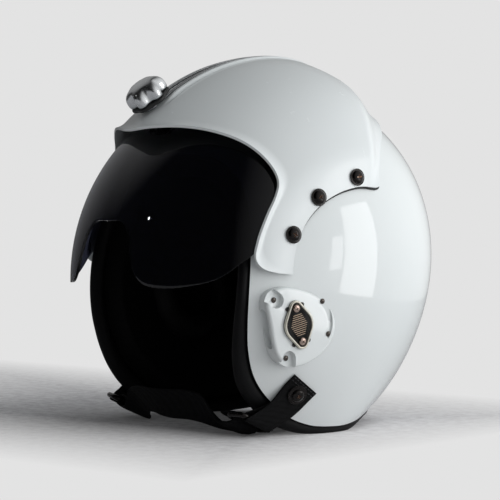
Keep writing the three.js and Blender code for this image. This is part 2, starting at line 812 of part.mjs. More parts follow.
// A cushion on the liner: a crowned, stitched form round a direction from the shell's centre
function cushion(centre, halfWidth, halfHeight, thickness) {
  const base = shellWall + linerGap + linerThickness + padGap;
  const reach = skinReach(centre, base);
  const lean = Math.abs(centre.z) > steepShare ? ahead : up;
  const u = new THREE.Vector3().crossVectors(lean, centre).normalize();
  const v = new THREE.Vector3().crossVectors(centre, u);
  const rings = cushionProfile.map(([share, height]) => {
    const ring = [];
    for (let i = 0; i < cushionSteps; i += 1) {
      const turn = (i / cushionSteps) * Math.PI * 2;
      const [c, q] = [Math.cos(turn), Math.sin(turn)];
      const round = (Math.abs(c) ** cushionPower + Math.abs(q) ** cushionPower) ** (-1 / cushionPower);
      const dir = centre.clone()
        .addScaledVector(u, share * round * c * halfWidth / reach)
        .addScaledVector(v, share * round * q * halfHeight / reach)
        .normalize();
      ring.push(onSkin(dir, base + height * thickness));
    }
    return ring;
  });
  return ringSolid(rings, false);
}

// A ring cushion round the ear, pillow shaped in section
function earCushion(side) {
  const base = shellWall + linerGap + linerThickness + padGap;
  const centre = heading(deg(earPadPlace[0]) * side, deg(earPadPlace[1]));
  const reach = skinReach(centre, base);
  const u = new THREE.Vector3().crossVectors(up, centre).normalize();
  const v = new THREE.Vector3().crossVectors(centre, u);
  const rings = [];
  for (let i = 0; i < earSteps; i += 1) {
    const turn = (i / earSteps) * Math.PI * 2;
    const tuft = 1 - earTuftShare * (0.5 + 0.5 * Math.cos(turn * earTufts)) ** 4;
    const ring = earProfile.map(([share, height]) => {
      const dir = centre.clone()
        .addScaledVector(u, share * Math.cos(turn) * earPadLength / 2 / reach)
        .addScaledVector(v, share * Math.sin(turn) * earPadHeight / 2 / reach)
        .normalize();
      const lift = height > 0.5 ? height * tuft : height;
      return onSkin(dir, base + lift * earPadThickness);
    });
    rings.push(ring);
  }
  return ringSolid(rings, true);
}

function buildPads() {
  addPiece('crown_pad', cushion(heading(Math.PI, deg(crownPadLift)), crownPadRadius, crownPadRadius,
    padThickness), leather);
  addPiece('brow_pad', cushion(heading(0, deg(browPadLift)), browPadLength / 2, browPadHeight / 2,
    padThickness), leather);
  addPiece('nape_pad', cushion(heading(Math.PI, deg(napePadLift)), napePadLength / 2, napePadHeight / 2,
    padThickness), leather);
  sides.forEach(([name, side]) => {
    addPiece(`ear_pad_${name}`, earCushion(side), leather);
  });
}

// The head form's outer point at a place beside it, found by halving
function skinBeside(side, y, z) {
  let near = 0;
  let far = shellHalfWidth + shellWall;
  while (far - near > weldTolerance) {
    const x = (near + far) / 2;
    const arm = new THREE.Vector3(x * side, y, z).sub(shellCentre);
    if (arm.length() < skinReach(arm.clone().normalize(), 0)) near = x;
    else far = x;
  }
  return new THREE.Vector3(near * side, y, z);
}

// Strips on the shell under the wings, beside the path of the visor's side edges
function buildGuides() {
  sides.forEach(([name, side]) => {
    const guide = sheetSolid(guideRows, 2, (i, j, face) => {
      const lift = THREE.MathUtils.lerp(guideStart, guideEnd, i / guideRows);
      const rho = guideRadius + guideWidth * (j / 2 - 0.5);
      const place = skinBeside(side, pivotSetback - rho * Math.cos(lift),
        pivotHeight + rho * Math.sin(lift));
      const normal = skinNormal(place.clone().sub(shellCentre).normalize());
      return place.addScaledVector(normal, fit + (1 - face) * guideHeight);
    }, false);
    addPiece(`visor_guide_${name}`, guide, blackPlastic);
  });
}

// Frame on the lock's axis, at a distance from the visor's axis
function lockFrame(rho) {
  const outward = new THREE.Vector3(0, -Math.cos(knobLift), Math.sin(knobLift));
  const origin = new THREE.Vector3(0, pivotSetback, pivotHeight).addScaledVector(outward, rho);
  return seatFrame(origin, outward, up);
}

function buildLock() {
  const lensTop = visorRadius + visorWall / 2 + fit;
  const halfSweep = carriageLength / 2 / lensTop;
  const block = sheetSolid(carriageRows, 2, (i, j, face) => {
    const x = carriageWidth * (j / 2 - 0.5);
    const across = Math.sign(x) * Math.asin((Math.abs(x) / visorHalfSpread) ** (visorPower / 2));
    const lift = knobLift + halfSweep * (i / carriageRows * 2 - 1);
    const rise = fit + (1 - face) * carriageHeight * (j === 1 ? 1 : carriageEdgeShare);
    return onVisor(across, lift, visorWall / 2 + rise);
  }, false);
  addPiece('visor_carriage', block, blackMetal);

  const stemBottom = lensTop + carriageHeight + fit;
  const collarBottom = housingRadius + keelHeight + trackThickness + fit * 2;
  const knobBottom = collarBottom + collarHeight + fit;
  const stemTop = knobBottom + knobHeight * stemShare;
  const stem = new THREE.CylinderGeometry(stemRadius, stemRadius, stemTop - stemBottom, stemSteps)
    .rotateX(Math.PI / 2).translate(0, 0, (stemTop - stemBottom) / 2);
  addPiece('knob_stem', stem, chrome, lockFrame(stemBottom));

  const collarBore = stemRadius + fit;
  const collar = new THREE.LatheGeometry([
    new THREE.Vector2(collarBore, 0), new THREE.Vector2(collarRadius - collarHeight / 3, 0),
    new THREE.Vector2(collarRadius, collarHeight / 3),
    new THREE.Vector2(collarRadius, collarHeight * 2 / 3),
    new THREE.Vector2(collarRadius - collarHeight / 3, collarHeight),
    new THREE.Vector2(collarBore, collarHeight), new THREE.Vector2(collarBore, 0),
  ], collarSteps).rotateX(Math.PI / 2);
  addPiece('lock_collar', collar, chrome, lockFrame(collarBottom));

  const dome = new THREE.LatheGeometry(knobProfile.map(([out, rise]) => {
    return new THREE.Vector2(knobRadius * out, knobHeight * rise);
  }), turnedSteps).rotateX(Math.PI / 2);
  const flutes = [];
  for (let i = 0; i < fluteCount; i += 1) {
    const turn = (i + 0.5) / fluteCount * Math.PI * 2;
    flutes.push(new THREE.CylinderGeometry(fluteRadius, fluteRadius, knobHeight * 3, fluteSteps)
      .rotateX(Math.PI / 2)
      .translate(Math.cos(turn) * fluteReach, Math.sin(turn) * fluteReach, 0));
  }
  const seat = bore(stemRadius + fit, (knobHeight * stemShare + fit) * 2);
  addPiece('lock_knob', cut(dome, seat, ...flutes), chrome, lockFrame(knobBottom));
}

// Outline places are measured rearward, so the frame's X runs forward on one side
function coverX(side, rearward) {
  return rearward * side;
}

function coverShape(side, inset) {
  const points = coverOutline.map(([u, v]) => {
    const length = Math.hypot(u - coverMiddle[0], v - coverMiddle[1]);
    const share = 1 - inset / length;
    return new THREE.Vector3(coverX(side, coverMiddle[0] + (u - coverMiddle[0]) * share),
      coverMiddle[1] + (v - coverMiddle[1]) * share, 0);
  });
  const curve = new THREE.CatmullRomCurve3(points, true, 'centripetal');
  return curve.getPoints(coverSteps).slice(0, coverSteps);
}

function buildCover(name, side) {
  const frame = coverFrame(side);
  const edge = coverBevel * coverEdgeShare;
  const levels = [[coverSink, 0], [coverBevel, 0], [edge, edge], [0, coverBevel]];
  const rings = levels.map(([depth, inset]) => coverShape(side, inset).map((p) => {
    return new THREE.Vector3(p.x, p.y, -depth);
  }));
  const blank = ringSolid(rings, false).applyMatrix4(frame);
  const under = sheetSolid(seatPatchSteps, seatPatchSteps, (i, j, face) => {
    const turn = THREE.MathUtils.lerp(...coverSeatTurns, i / seatPatchSteps) * side;
    const lift = THREE.MathUtils.lerp(...coverSeatLifts, j / seatPatchSteps);
    return onSkin(heading(deg(turn), deg(lift)), face * coverSink * 2 - coverSeat);
  }, false);
  const placed = (geometry, rearward, v, depth) => geometry
    .translate(coverX(side, rearward), v, depth).applyMatrix4(frame);
  const tools = [under];
  coverPockets.forEach(([u, v]) => {
    const pocket = new THREE.CylinderGeometry(pocketRadius, pocketRadius, pocketDepth * 2,
      pocketSteps);
    tools.push(placed(pocket.rotateX(Math.PI / 2), u, v, 0));
  });
  const groove = new THREE.Shape();
  groove.absarc(0, 0, grooveRadius + grooveWidth / 2, -grooveSweep, grooveSweep, false);
  groove.absarc(0, 0, grooveRadius - grooveWidth / 2, grooveSweep, -grooveSweep, true);
  const arc = new THREE.ExtrudeGeometry(groove, {
    depth: grooveDepth * 2, bevelEnabled: false, curveSegments: grooveSegments,
  });
  if (side < 0) arc.rotateY(Math.PI);
  arc.translate(0, 0, side < 0 ? grooveDepth : -grooveDepth);
  tools.push(placed(arc, grooveCentre, 0, 0));
  tools.push(placed(new THREE.BoxGeometry(handSlotDepth * 2, handSlotLength, handSlotWidth),
    coverOutline[0][0], handSlotPlace, -handSlotDrop));
  coverScrewPlaces.forEach(([u, v]) => {
    tools.push(placed(bore(coverScrewRadius * shankShare + fit, coverSink), u, v, -coverSink / 2));
  });
  badgeScrewPlaces.forEach((v) => {
    tools.push(placed(bore(badgeScrewRadius * shankShare + fit, badgeScrewLength * 2),
      badgeCentre[0], badgeCentre[1] + v, 0));
  });
  addPiece(`ear_cover_${name}`, cut(blank, ...tools), shellPaint);
  coverScrewPlaces.forEach(([u, v, depth, length], i) => {
    const seat = new THREE.Matrix4().makeTranslation(coverX(side, u), v, fit - depth);
    const screw = screwGeometry(coverScrewRadius, coverScrewRise, length);
    addPiece(`cover_screw_${name}_${i + 1}`, screw, blackMetal, frame.clone().multiply(seat));
  });
  buildBadge(name, side, frame);
}

// Lozenge with round ends, set out from three circles and their tangents
function lozenge(offset) {
  const tilt = Math.asin((badgeWidth / 2 - badgeEndRadius) / badgeEndReach);
  const end = badgeEndRadius + offset;
  const middle = badgeWidth / 2 + offset;
  const shape = new THREE.Shape();
  shape.absarc(0, badgeEndReach, end, tilt, Math.PI - tilt, false);
  shape.absarc(0, 0, middle, Math.PI - tilt, Math.PI + tilt, false);
  shape.absarc(0, -badgeEndReach, end, Math.PI + tilt, Math.PI * 2 - tilt, false);
  shape.absarc(0, 0, middle, -tilt, tilt, false);
  shape.closePath();
  return shape;
}

function slab(shape, thickness, floor) {
  return new THREE.ExtrudeGeometry(shape, {
    depth: thickness, bevelEnabled: false, curveSegments: badgeSegments,
  }).translate(0, 0, floor);
}

function buildBadge(name, side, frame) {
  const seat = frame.clone().multiply(
    new THREE.Matrix4().makeTranslation(coverX(side, badgeCentre[0]), badgeCentre[1], 0));
  const ring = lozenge(0);
  ring.holes.push(lozenge(-badgeRimWidth));
  const holes = () => badgeScrewPlaces.map((v) => {
    return bore(badgeScrewRadius * shankShare + fit, badgeHeight).translate(0, v, 0);
  });
  const lugs = [-1, 1].flatMap((right) => [-1, 1].map((top) => {
    return new THREE.CylinderGeometry(gasketLugRadius, gasketLugRadius, gasketThickness, lugSteps)
      .rotateX(Math.PI / 2)
      .translate(gasketLug[0] * right, gasketLug[1] * top, fit + gasketThickness / 2);
  }));
  const gasket = join(slab(lozenge(0), gasketThickness, fit), ...lugs);
  addPiece(`badge_gasket_${name}`, cut(gasket, ...holes()), blackPlastic, seat);
  const floor = fit * 2 + gasketThickness;
  addPiece(`badge_rim_${name}`, slab(ring, badgeThickness, floor), chrome, seat);
  const plate = slab(lozenge(-badgeRimWidth - fit), badgeThickness - badgeRecess, floor);
  addPiece(`badge_plate_${name}`, cut(plate, ...holes()), blackPlastic, seat);
  const plateTop = floor + badgeThickness - badgeRecess + fit;
  badgeScrewPlaces.forEach((v, i) => {
    const place = seat.clone().multiply(new THREE.Matrix4().makeTranslation(0, v, plateTop));
    const screw = screwGeometry(badgeScrewRadius, badgeScrewRise, badgeScrewLength);
    addPiece(`badge_screw_${name}_${i + 1}`, screw, chrome, place);
  });
}

// A flat band along a run of centres, each with the way of its width
function ribbon(centres, widths, width, thickness, steps) {
  const path = new THREE.CatmullRomCurve3(centres, false, 'centripetal');
  const lean = new THREE.CatmullRomCurve3(widths, false, 'centripetal');
  const rings = [];
  for (let i = 0; i <= steps; i += 1) {
    const t = i / steps;
    const p = path.getPoint(t);
    const along = path.getTangent(t);
    const w = lean.getPoint(t).normalize();
    const n = new THREE.Vector3().crossVectors(along, w).normalize();
    rings.push([[1, 1], [-1, 1], [-1, -1], [1, -1]].map(([a, b]) => p.clone()
      .addScaledVector(w, a * width / 2).addScaledVector(n, b * thickness / 2)));
  }
  return ringSolid(rings, false);
}

const mirrored = (side) => (v) => new THREE.Vector3(v.x * side, v.y, v.z);

// Strap ring: a wire loop, one long bar in the tab's fold and one in the strap's
function buildStraps() {
  const bar = new THREE.Vector3(...ringBarPlace);
  const across = new THREE.Vector3(...ringBarWay).normalize();
  const inward = new THREE.Vector3(...ringInward);
  inward.addScaledVector(across, -inward.dot(across)).normalize();
  const faceWay = new THREE.Vector3().crossVectors(inward, across);
  sides.forEach(([name, side], index) => {
    const flip = mirrored(side);
    const half = ringWidth / 2 - ringBend;
    const corner = (a, b) => bar.clone().addScaledVector(across, a).addScaledVector(inward, b);
    const marks = [];
    [[half, ringBend, -90], [half, ringDepth - ringBend, 0], [-half, ringDepth - ringBend, 90],
      [-half, ringBend, 180]].forEach(([a, b, start]) => {
      for (let k = 0; k <= bendSteps; k += 1) {
        const turn = deg(start) + (k / bendSteps) * Math.PI / 2;
        marks.push(corner(a + ringBend * Math.cos(turn), b + ringBend * Math.sin(turn)));
      }
    });
    const rings = marks.map((p, i) => {
      const next = marks[(i + 1) % marks.length];
      const before = marks[(i + marks.length - 1) % marks.length];
      const outward = new THREE.Vector3()
        .crossVectors(next.clone().sub(before).normalize(), faceWay);
      const ring = [];
      for (let k = 0; k < wireSteps; k += 1) {
        const turn = (k / wireSteps) * Math.PI * 2;
        ring.push(flip(p.clone().addScaledVector(outward, ringWire * Math.cos(turn))
          .addScaledVector(faceWay, ringWire * Math.sin(turn))));
      }
      return ring;
    });
    addPiece(`strap_ring_${name}`, ringSolid(rings, true), blackMetal);

    const seat = tabSeats[index];
    const lay = (place, out) => {
      const dir = heading(deg(place[0]), deg(place[1]));
      return onSkin(dir, 0).addScaledVector(skinNormal(dir), out);
    };
    const onShell = fit + webThickness / 2;
    const tabPath = [
      lay(tabEndPlace, onShell), lay(tabScrewPlace, onShell),
      lay(tabRimPlace, onShell + rollProud + tabRise),
    ];
    const outFold = ringWire + fit * 2 + webThickness / 2;
    const end = tabPath[tabPath.length - 1];
    const toBar = bar.clone().sub(end);
    toBar.addScaledVector(across, -toBar.dot(across)).normalize();
    const outer = new THREE.Vector3().crossVectors(toBar, across).normalize();
    if (outer.x < 0) outer.negate();
    for (let k = 0; k <= foldSteps; k += 1) {
      const turn = (k / foldSteps) * tabFoldTurn;
      tabPath.push(bar.clone().addScaledVector(outer, outFold * Math.cos(turn))
        .addScaledVector(toBar, outFold * Math.sin(turn)));
    }
    const tabWays = tabPath.map((p, i) => (i < 2 ? new THREE.Vector3(...tabEndWay)
      : across.clone()));
    const tab = ribbon(tabPath.map(flip), tabWays.map(flip), tabWidth, webThickness, tabSteps);
    addPiece(`strap_tab_${name}`, cut(tab, tabBores[index]), webbing);
    const washerFrame = seat.frame.clone();
    addPiece(`tab_washer_${name}`, new THREE.LatheGeometry([
      new THREE.Vector2(tabScrewRadius * shankShare + fit, 0),
      new THREE.Vector2(washerRadius, 0), new THREE.Vector2(washerRadius, washerThickness / 2),
      new THREE.Vector2(washerRadius - washerThickness / 2, washerThickness),
      new THREE.Vector2(tabScrewRadius * shankShare + fit, washerThickness),
      new THREE.Vector2(tabScrewRadius * shankShare + fit, 0),
    ], washerSteps).rotateX(Math.PI / 2), blackMetal, washerFrame);
    const screwFrame = seat.frame.clone().multiply(
      new THREE.Matrix4().makeTranslation(0, 0, washerThickness + fit));
    addPiece(`tab_screw_${name}`, screwGeometry(tabScrewRadius, tabScrewRise, tabScrewLength),
      blackMetal, screwFrame);
  });
  buildChinStrap(bar, across, inward, faceWay);
}

function buildChinStrap(bar, across, inward, faceWay) {
  const foldOut = ringWire + fit * 2 + webThickness / 2;
  const farBar = bar.clone().addScaledVector(inward, ringDepth);
  const fold = [];
  const sideWay = faceWay.z > 0 ? faceWay.clone() : faceWay.clone().negate();
  fold.push(farBar.clone().addScaledVector(inward, strapFoldLength).addScaledVector(sideWay, foldOut));
  for (let k = 0; k <= foldSteps; k += 1) {
    const turn = (k / foldSteps) * Math.PI;
    fold.push(farBar.clone().addScaledVector(sideWay, foldOut * Math.cos(turn))
      .addScaledVector(inward, -foldOut * Math.sin(turn)));
  }
  fold.push(farBar.clone().addScaledVector(inward, strapFoldLength)
    .addScaledVector(sideWay, -foldOut));
  const right = mirrored(-1);
  const chinHeight = shellCentreHeight - chinDrop;
  const centres = [...fold, ...chinPath.map(([x, y, rise]) => new THREE.Vector3(x, y, chinHeight + rise)),
    ...[...fold].reverse().map(right)];
  const ways = [...fold.map(() => across.clone()), ...chinWays.map((w) => new THREE.Vector3(...w)),
    ...fold.map(() => right(across))];
  addPiece('chin_strap', ribbon(centres, ways, webWidth, webThickness, chinSteps), webbing);
}

buildShell();
buildLiner();
buildRoll();
buildPads();
buildVisor();
buildHousing();
buildGuides();
buildLock();
sides.forEach(([name, side]) => {
  buildCover(name, side);
});
buildStraps();

// The origin is at the bottom centre, on the roll's rest face
const box = new THREE.Box3().setFromObject(group);
const middle = box.getCenter(new THREE.Vector3());
group.position.set(-middle.x, -middle.y, -box.min.z);

export default group;
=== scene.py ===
import json
import math

import bpy
import numpy as np
from mathutils import Matrix, Vector


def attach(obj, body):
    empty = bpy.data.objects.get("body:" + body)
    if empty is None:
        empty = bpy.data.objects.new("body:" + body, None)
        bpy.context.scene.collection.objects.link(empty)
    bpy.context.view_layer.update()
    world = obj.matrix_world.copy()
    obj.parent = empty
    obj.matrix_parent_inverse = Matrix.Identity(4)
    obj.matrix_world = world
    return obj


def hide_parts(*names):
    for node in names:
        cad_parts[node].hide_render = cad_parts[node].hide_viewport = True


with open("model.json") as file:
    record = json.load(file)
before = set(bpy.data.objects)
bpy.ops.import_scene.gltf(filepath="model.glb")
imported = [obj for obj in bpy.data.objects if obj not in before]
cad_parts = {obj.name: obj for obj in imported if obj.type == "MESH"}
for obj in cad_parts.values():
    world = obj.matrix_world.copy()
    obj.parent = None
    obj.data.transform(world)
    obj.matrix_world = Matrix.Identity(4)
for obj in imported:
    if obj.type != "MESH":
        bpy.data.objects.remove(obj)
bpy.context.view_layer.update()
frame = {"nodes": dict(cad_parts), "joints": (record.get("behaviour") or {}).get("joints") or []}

# The helmet's lengths are in millimetres, in the frame it was drawn in, and in metres once laid.
# A pattern's scale is METRE over its size, which is in millimetres too.
MM = 0.001
METRE = 1000
shell_centre = np.array([0.0, 0.0, 122.0])
visor_axis = np.array([0.0, 10.3, 105.0])
pivot = np.array([j["pos_m"] for j in frame["joints"] if j["name"] == "visor_slide"][0]) / MM
shift = pivot - visor_axis
left, right = 1, -1
sides = (("left", left), ("right", right))


# Camera
# The photograph was taken from the front left, low, with a long lens.
view_turn = math.radians(55)
focal_pixels = 2045
frame_pixels = 500
view_distance = 1.5
view_aim = Vector((0, -0.015 + shift[1] * MM, 0))
view_height = 0.165
view_dip = math.radians(1.46)
aim_pixel = 245

toward = Vector((math.sin(view_turn), -math.cos(view_turn), 0))
across_view = Vector((math.cos(view_turn), math.sin(view_turn), 0))
step_right = (frame_pixels / 2 - aim_pixel) / focal_pixels * view_distance
eye = view_aim + toward * view_distance + across_view * step_right
eye.z = view_height + shift[2] * MM
camera_data = bpy.data.cameras.new("photo_camera")
camera_data.sensor_fit = "HORIZONTAL"
camera_data.sensor_width = 36
camera_data.lens = camera_data.sensor_width * focal_pixels / frame_pixels
camera_data.clip_start = 0.05
camera_data.clip_end = 60
camera = bpy.data.objects.new("photo_camera", camera_data)
bpy.context.scene.collection.objects.link(camera)
camera.location = eye
camera.rotation_euler = (math.radians(90) - view_dip, 0, view_turn)
bpy.context.scene.camera = camera
bpy.context.scene.view_settings.view_transform = "Standard"


# Small tools
def between(a, b, share):
    return a + (b - a) * share


def smooth(low, high, value):
    t = np.clip((value - low) / (high - low), 0, 1)
    return t * t * (3 - 2 * t)


def smoother(low, high, value):
    t = np.clip((value - low) / (high - low), 0, 1)
    return t ** 3 * (t * (6 * t - 15) + 10)


def unit(v):
    v = np.asarray(v, float)
    return v / np.linalg.norm(v, axis=-1, keepdims=True)


def nearest(share, count):
    """The number of the grid line nearest to a share of a closed round of count lines."""
    return np.mod(np.rint(share * count).astype(int), count)


def to_metres(points):
    return (np.asarray(points) + shift) * MM


def mirrored(points, side):
    return np.asarray(points, float) * (side, 1, 1)


def at(x, y, z):
    return Matrix.Translation((x * MM, y * MM, z * MM))


def about_z(angle):
    return Matrix.Rotation(angle, 4, "Z")


def deselect():
    if bpy.context.object and bpy.context.object.mode != "OBJECT":
        bpy.ops.object.mode_set(mode="OBJECT")
    bpy.ops.object.select_all(action="DESELECT")


def pick_only(*objs):
    deselect()
    for obj in objs:
        obj.select_set(True)
    bpy.context.view_layer.objects.active = objs[-1]


def edit_all(obj):
    pick_only(obj)
    bpy.ops.object.mode_set(mode="EDIT")
    bpy.ops.mesh.select_all(action="SELECT")


def points_of(obj):
    points = np.empty(len(obj.data.vertices) * 3)
    obj.data.vertices.foreach_get("co", points)
    return points.reshape(-1, 3)


def set_points(obj, points):
    obj.data.vertices.foreach_set("co", np.asarray(points, float).ravel())
    obj.data.update()


def apply_modifier(obj, kind, **settings):
    pick_only(obj)
    made = obj.modifiers.new(kind.lower(), kind)
    for key, value in settings.items():
        setattr(made, key, value)
    bpy.ops.object.modifier_apply(modifier=made.name)


def thicken(obj, wall, offset=-1):
    """Gives a sheet its wall: inwards where the offset is -1, to both sides where it is 0."""
    apply_modifier(obj, "SOLIDIFY", thickness=wall * MM, offset=offset, use_even_offset=True)


def round_edges(obj, width, segments=3, angle=35):
    apply_modifier(obj, "BEVEL", width=width * MM, segments=segments, limit_method="ANGLE",
                   angle_limit=math.radians(angle), use_clamp_overlap=True)


def shade(obj, angle=40):
    pick_only(obj)
    bpy.ops.object.shade_smooth_by_angle(angle=math.radians(angle))


def face_out(obj, centre=None):
    """Turns the faces outwards, and those of an open sheet away from its centre."""
    edit_all(obj)
    bpy.ops.mesh.normals_make_consistent(inside=False)
    bpy.ops.object.mode_set(mode="OBJECT")
    if centre is None:
        return
    out = sum(face.normal.dot(face.center - Vector(centre)) * face.area
              for face in obj.data.polygons)
    if out < 0:
        edit_all(obj)
        bpy.ops.mesh.flip_normals()
        bpy.ops.object.mode_set(mode="OBJECT")


def formed_sheet(name, columns, rows, place, merge=False, cap=False, centre=None):
    """A flat grid whose points are laid on a curved surface: place(across, along), each 0 to 1.
    Its edges merge where they meet, and its open ends are filled where it has a cap."""
    deselect()
    bpy.ops.mesh.primitive_grid_add(x_subdivisions=columns, y_subdivisions=rows, size=1)
    obj = bpy.context.object
    obj.name = obj.data.name = name
    start = points_of(obj)
    set_points(obj, place(start[:, 0] + 0.5, start[:, 1] + 0.5))
    if merge or cap:
        edit_all(obj)
        bpy.ops.mesh.remove_doubles(threshold=2e-6)
        bpy.ops.mesh.dissolve_degenerate(threshold=1e-7)
        if cap:
            bpy.ops.mesh.select_all(action="SELECT")
            bpy.ops.mesh.fill_holes(sides=0)
        bpy.ops.object.mode_set(mode="OBJECT")
    face_out(obj, centre)
    return obj


def turned_form(name, profile, steps=48):
    """A circle drawn up along its axis ring by ring: profile is (radius, height) in mm."""
    deselect()
    radius, height = profile[0]
    bpy.ops.mesh.primitive_circle_add(vertices=steps, radius=radius * MM, fill_type="NGON",
                                      location=(0, 0, height * MM))
    obj = bpy.context.object
    obj.name = obj.data.name = name
    bpy.ops.object.transform_apply()
    bpy.ops.object.mode_set(mode="EDIT")
    bpy.ops.mesh.select_all(action="SELECT")
    for next_radius, next_height in profile[1:]:
        bpy.ops.mesh.extrude_region_move(
            TRANSFORM_OT_translate={"value": (0, 0, (next_height - height) * MM)})
        share = next_radius / radius
        bpy.ops.transform.resize(value=(share, share, 1), center_override=(0, 0, 0))
        radius, height = next_radius, next_height
    bpy.ops.object.mode_set(mode="OBJECT")
    face_out(obj)
    return obj


def box_form(size, matrix):
    deselect()
    bpy.ops.mesh.primitive_cube_add(size=1)
    box = bpy.context.object
    box.data.transform(matrix @ Matrix.Diagonal((*[s * MM for s in size], 1)))
    return box


def cut_with(obj, *tools):
    for tool in tools:
        apply_modifier(obj, "BOOLEAN", operation="DIFFERENCE", solver="EXACT", object=tool)
        bpy.data.objects.remove(tool)


def join_all(name, objs):
    pick_only(*objs)
    bpy.ops.object.join()
    obj = bpy.context.object
    obj.name = obj.data.name = name
    return obj


def dress(obj, finish, nodes=(), body="helmet"):
    """Gives a finished piece its material, lets it ride on its body, and hides the nodes it
    replaces.
    """
    obj.data.materials.clear()
    obj.data.materials.append(finish)
    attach(obj, body)
    if nodes:
        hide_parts(*nodes)


# Curves and surfaces
def table_curve(pairs):
    """A smooth curve through pairs of turn and lift in degrees, read by its share of the table."""
    p = np.radians(np.array(pairs, float))
    run = np.vstack([p[1] * (-1, 1), p, 2 * p[-1] - p[-2]])

    def read(t):
        place = np.clip(t, 0, 1) * (len(p) - 1)
        i = np.minimum(np.floor(place).astype(int), len(p) - 2)
        u = (place - i)[..., None]
        a, b, c, d = run[i], run[i + 1], run[i + 2], run[i + 3]
        return 0.5 * (2 * b + (c - a) * u + (2 * a - 5 * b + 4 * c - d) * u * u
                      + (3 * b - a - 3 * c + d) * u ** 3)
    return read


def spline(points, count, closed=False):
    """Places along a centripetal curve through the points, evenly by its spans."""
    p = np.array(points, float)
    n = len(p)
    spans = n if closed else n - 1
    made = []
    for t in np.linspace(0, 1, count, endpoint=not closed):
        place = t * spans
        i = min(int(place), spans - 1)
        w = place - i
        if closed:
            q = [p[(i + k) % n] for k in (-1, 0, 1, 2)]
        else:
            q = [p[i - 1] if i > 0 else 2 * p[0] - p[1], p[i], p[i + 1],
                 p[i + 2] if i + 2 < n else 2 * p[-1] - p[-2]]
        d = [max(np.linalg.norm(q[k + 1] - q[k]) ** 0.5, 1e-4) for k in range(3)]
        t1 = ((q[1] - q[0]) / d[0] - (q[2] - q[0]) / (d[0] + d[1]) + (q[2] - q[1]) / d[1]) * d[1]
        t2 = ((q[2] - q[1]) / d[1] - (q[3] - q[1]) / (d[1] + d[2]) + (q[3] - q[2]) / d[2]) * d[1]
        made.append(q[1] + t1 * w + (-3 * q[1] + 3 * q[2] - 2 * t1 - t2) * w * w
                    + (2 * q[1] - 2 * q[2] + t1 + t2) * w ** 3)
    return np.array(made)


# Each table runs from the middle, at the front or on the visor's cover, round the left side
rim_curve = table_curve([
    (0, 38.5), (14, 38.2), (27, 36.8), (38, 33.8), (46, 27.5), (50, 18.5), (51.2, 9), (51.4, 0),
    (51, -9), (50.5, -18), (50.5, -26), (52, -33.5), (56, -40), (64, -47), (76, -51.5), (90, -53),
    (104, -53.8), (119, -54.3), (134, -54.2), (149, -53.2), (165, -52.2), (180, -51.8)])
lip_curve = table_curve([
    (0, 41), (8, 42.6), (18, 45.4), (28, 47.8), (38, 49.3), (46, 48.2), (51.3, 44.6), (53.4, 38),
    (53.9, 28), (53.9, 18), (54.2, 11.5), (56.6, 7.9), (60.5, 6.4)])
rear_curve = table_curve([
    (0, 116), (8, 115.7), (22, 114), (36, 110.6), (49, 104.5), (59, 99.6), (64, 97), (64.4, 80),
    (64.2, 64), (63.8, 48), (63.8, 34), (64.1, 20), (64.8, 6.3)])
lens_low = table_curve([
    (0, 17.2), (5.5, 17), (9.4, 13.6), (11.6, 8.5), (14, 3.4), (18.5, 0.2), (26, -0.6), (34, 0),
    (41.5, 1.6), (47, 4.6), (51, 8.8), (54.6, 13.5), (56.6, 20)])
lens_high = table_curve([
    (0, 57), (5.5, 57), (11, 57), (16.5, 57), (22, 56.7), (28, 56.1), (34, 55), (40, 53.2),
    (45.5, 50.6), (50, 47.6), (53.4, 44), (55.6, 39.5), (56.6, 34)])

# The shell's skin reaches this far from its centre
reach_side = 121
reach_rear = 121
reach_jaw, reach_brow = 150, 112
reach_crown = 126
reach_chin, reach_neck = 185, 152
plan_power, crown_power, neck_power = 2.2, 2.1, 1.85
shell_wall = 3.5


def heading(turn, lift):
    """The direction at a turn from the front and a lift above the level."""
    turn, lift = np.broadcast_arrays(turn, lift)
    return np.stack([np.sin(turn) * np.cos(lift), -np.cos(turn) * np.cos(lift), np.sin(lift)], -1)


def direction(turn, lift):
    return heading(np.radians(turn), np.radians(lift))


def skin_reach(d, depth=0.0):
    x, y, z = d[..., 0], d[..., 1], d[..., 2]
    front = between(reach_jaw, reach_brow, smooth(-0.35, 0.5, z))
    reach = np.where(y > 0, reach_rear, front) - depth
    level = np.maximum(np.hypot(x, y), 1e-12)
    drop = between(reach_chin, reach_neck, smooth(-0.1, 0.7, y / level))
    rise = np.where(z > 0, reach_crown, drop) - depth
    power = np.where(z > 0, crown_power, neck_power)
    plan = (np.abs(x) / (reach_side - depth)) ** plan_power + (np.abs(y) / reach) ** plan_power
    return (plan ** (power / plan_power) + (np.abs(z) / rise) ** power) ** (-1 / power)


def on_skin(d, depth=0.0):
    return d * skin_reach(d, depth)[..., None] + shell_centre


def skin_normal(d):
    side = np.where(np.abs(d[..., 2:3]) > 0.85, (1.0, 0, 0), (0, 0, 1.0))
    u = unit(np.cross(side, d))
    v = np.cross(d, u)
    step = math.radians(0.5)
    along_u = on_skin(unit(d + u * step)) - on_skin(unit(d - u * step))
    along_v = on_skin(unit(d + v * step)) - on_skin(unit(d - v * step))
    return unit(np.cross(along_u, along_v))


def off_skin(d, out):
    return on_skin(d) + skin_normal(d) * out


rim_pole = direction(180, 45)


def rim_heading(share):
    near = share <= 0.5
    table = rim_curve(np.where(near, share * 2, (1 - share) * 2))
    return heading(np.where(near, table[..., 0], -table[..., 0]), table[..., 1])


def toward_rim(row, share, shortfall=0.0):
    """The direction a share of the way from the shell's pole, high at the back, to its rim."""
    rim = rim_heading(share)
    along = rim @ rim_pole
    arc = np.arccos(along) * row * (1 - shortfall)
    side = unit(rim - rim_pole * along[..., None])
    return rim_pole * np.cos(arc)[..., None] + side * np.sin(arc)[..., None]


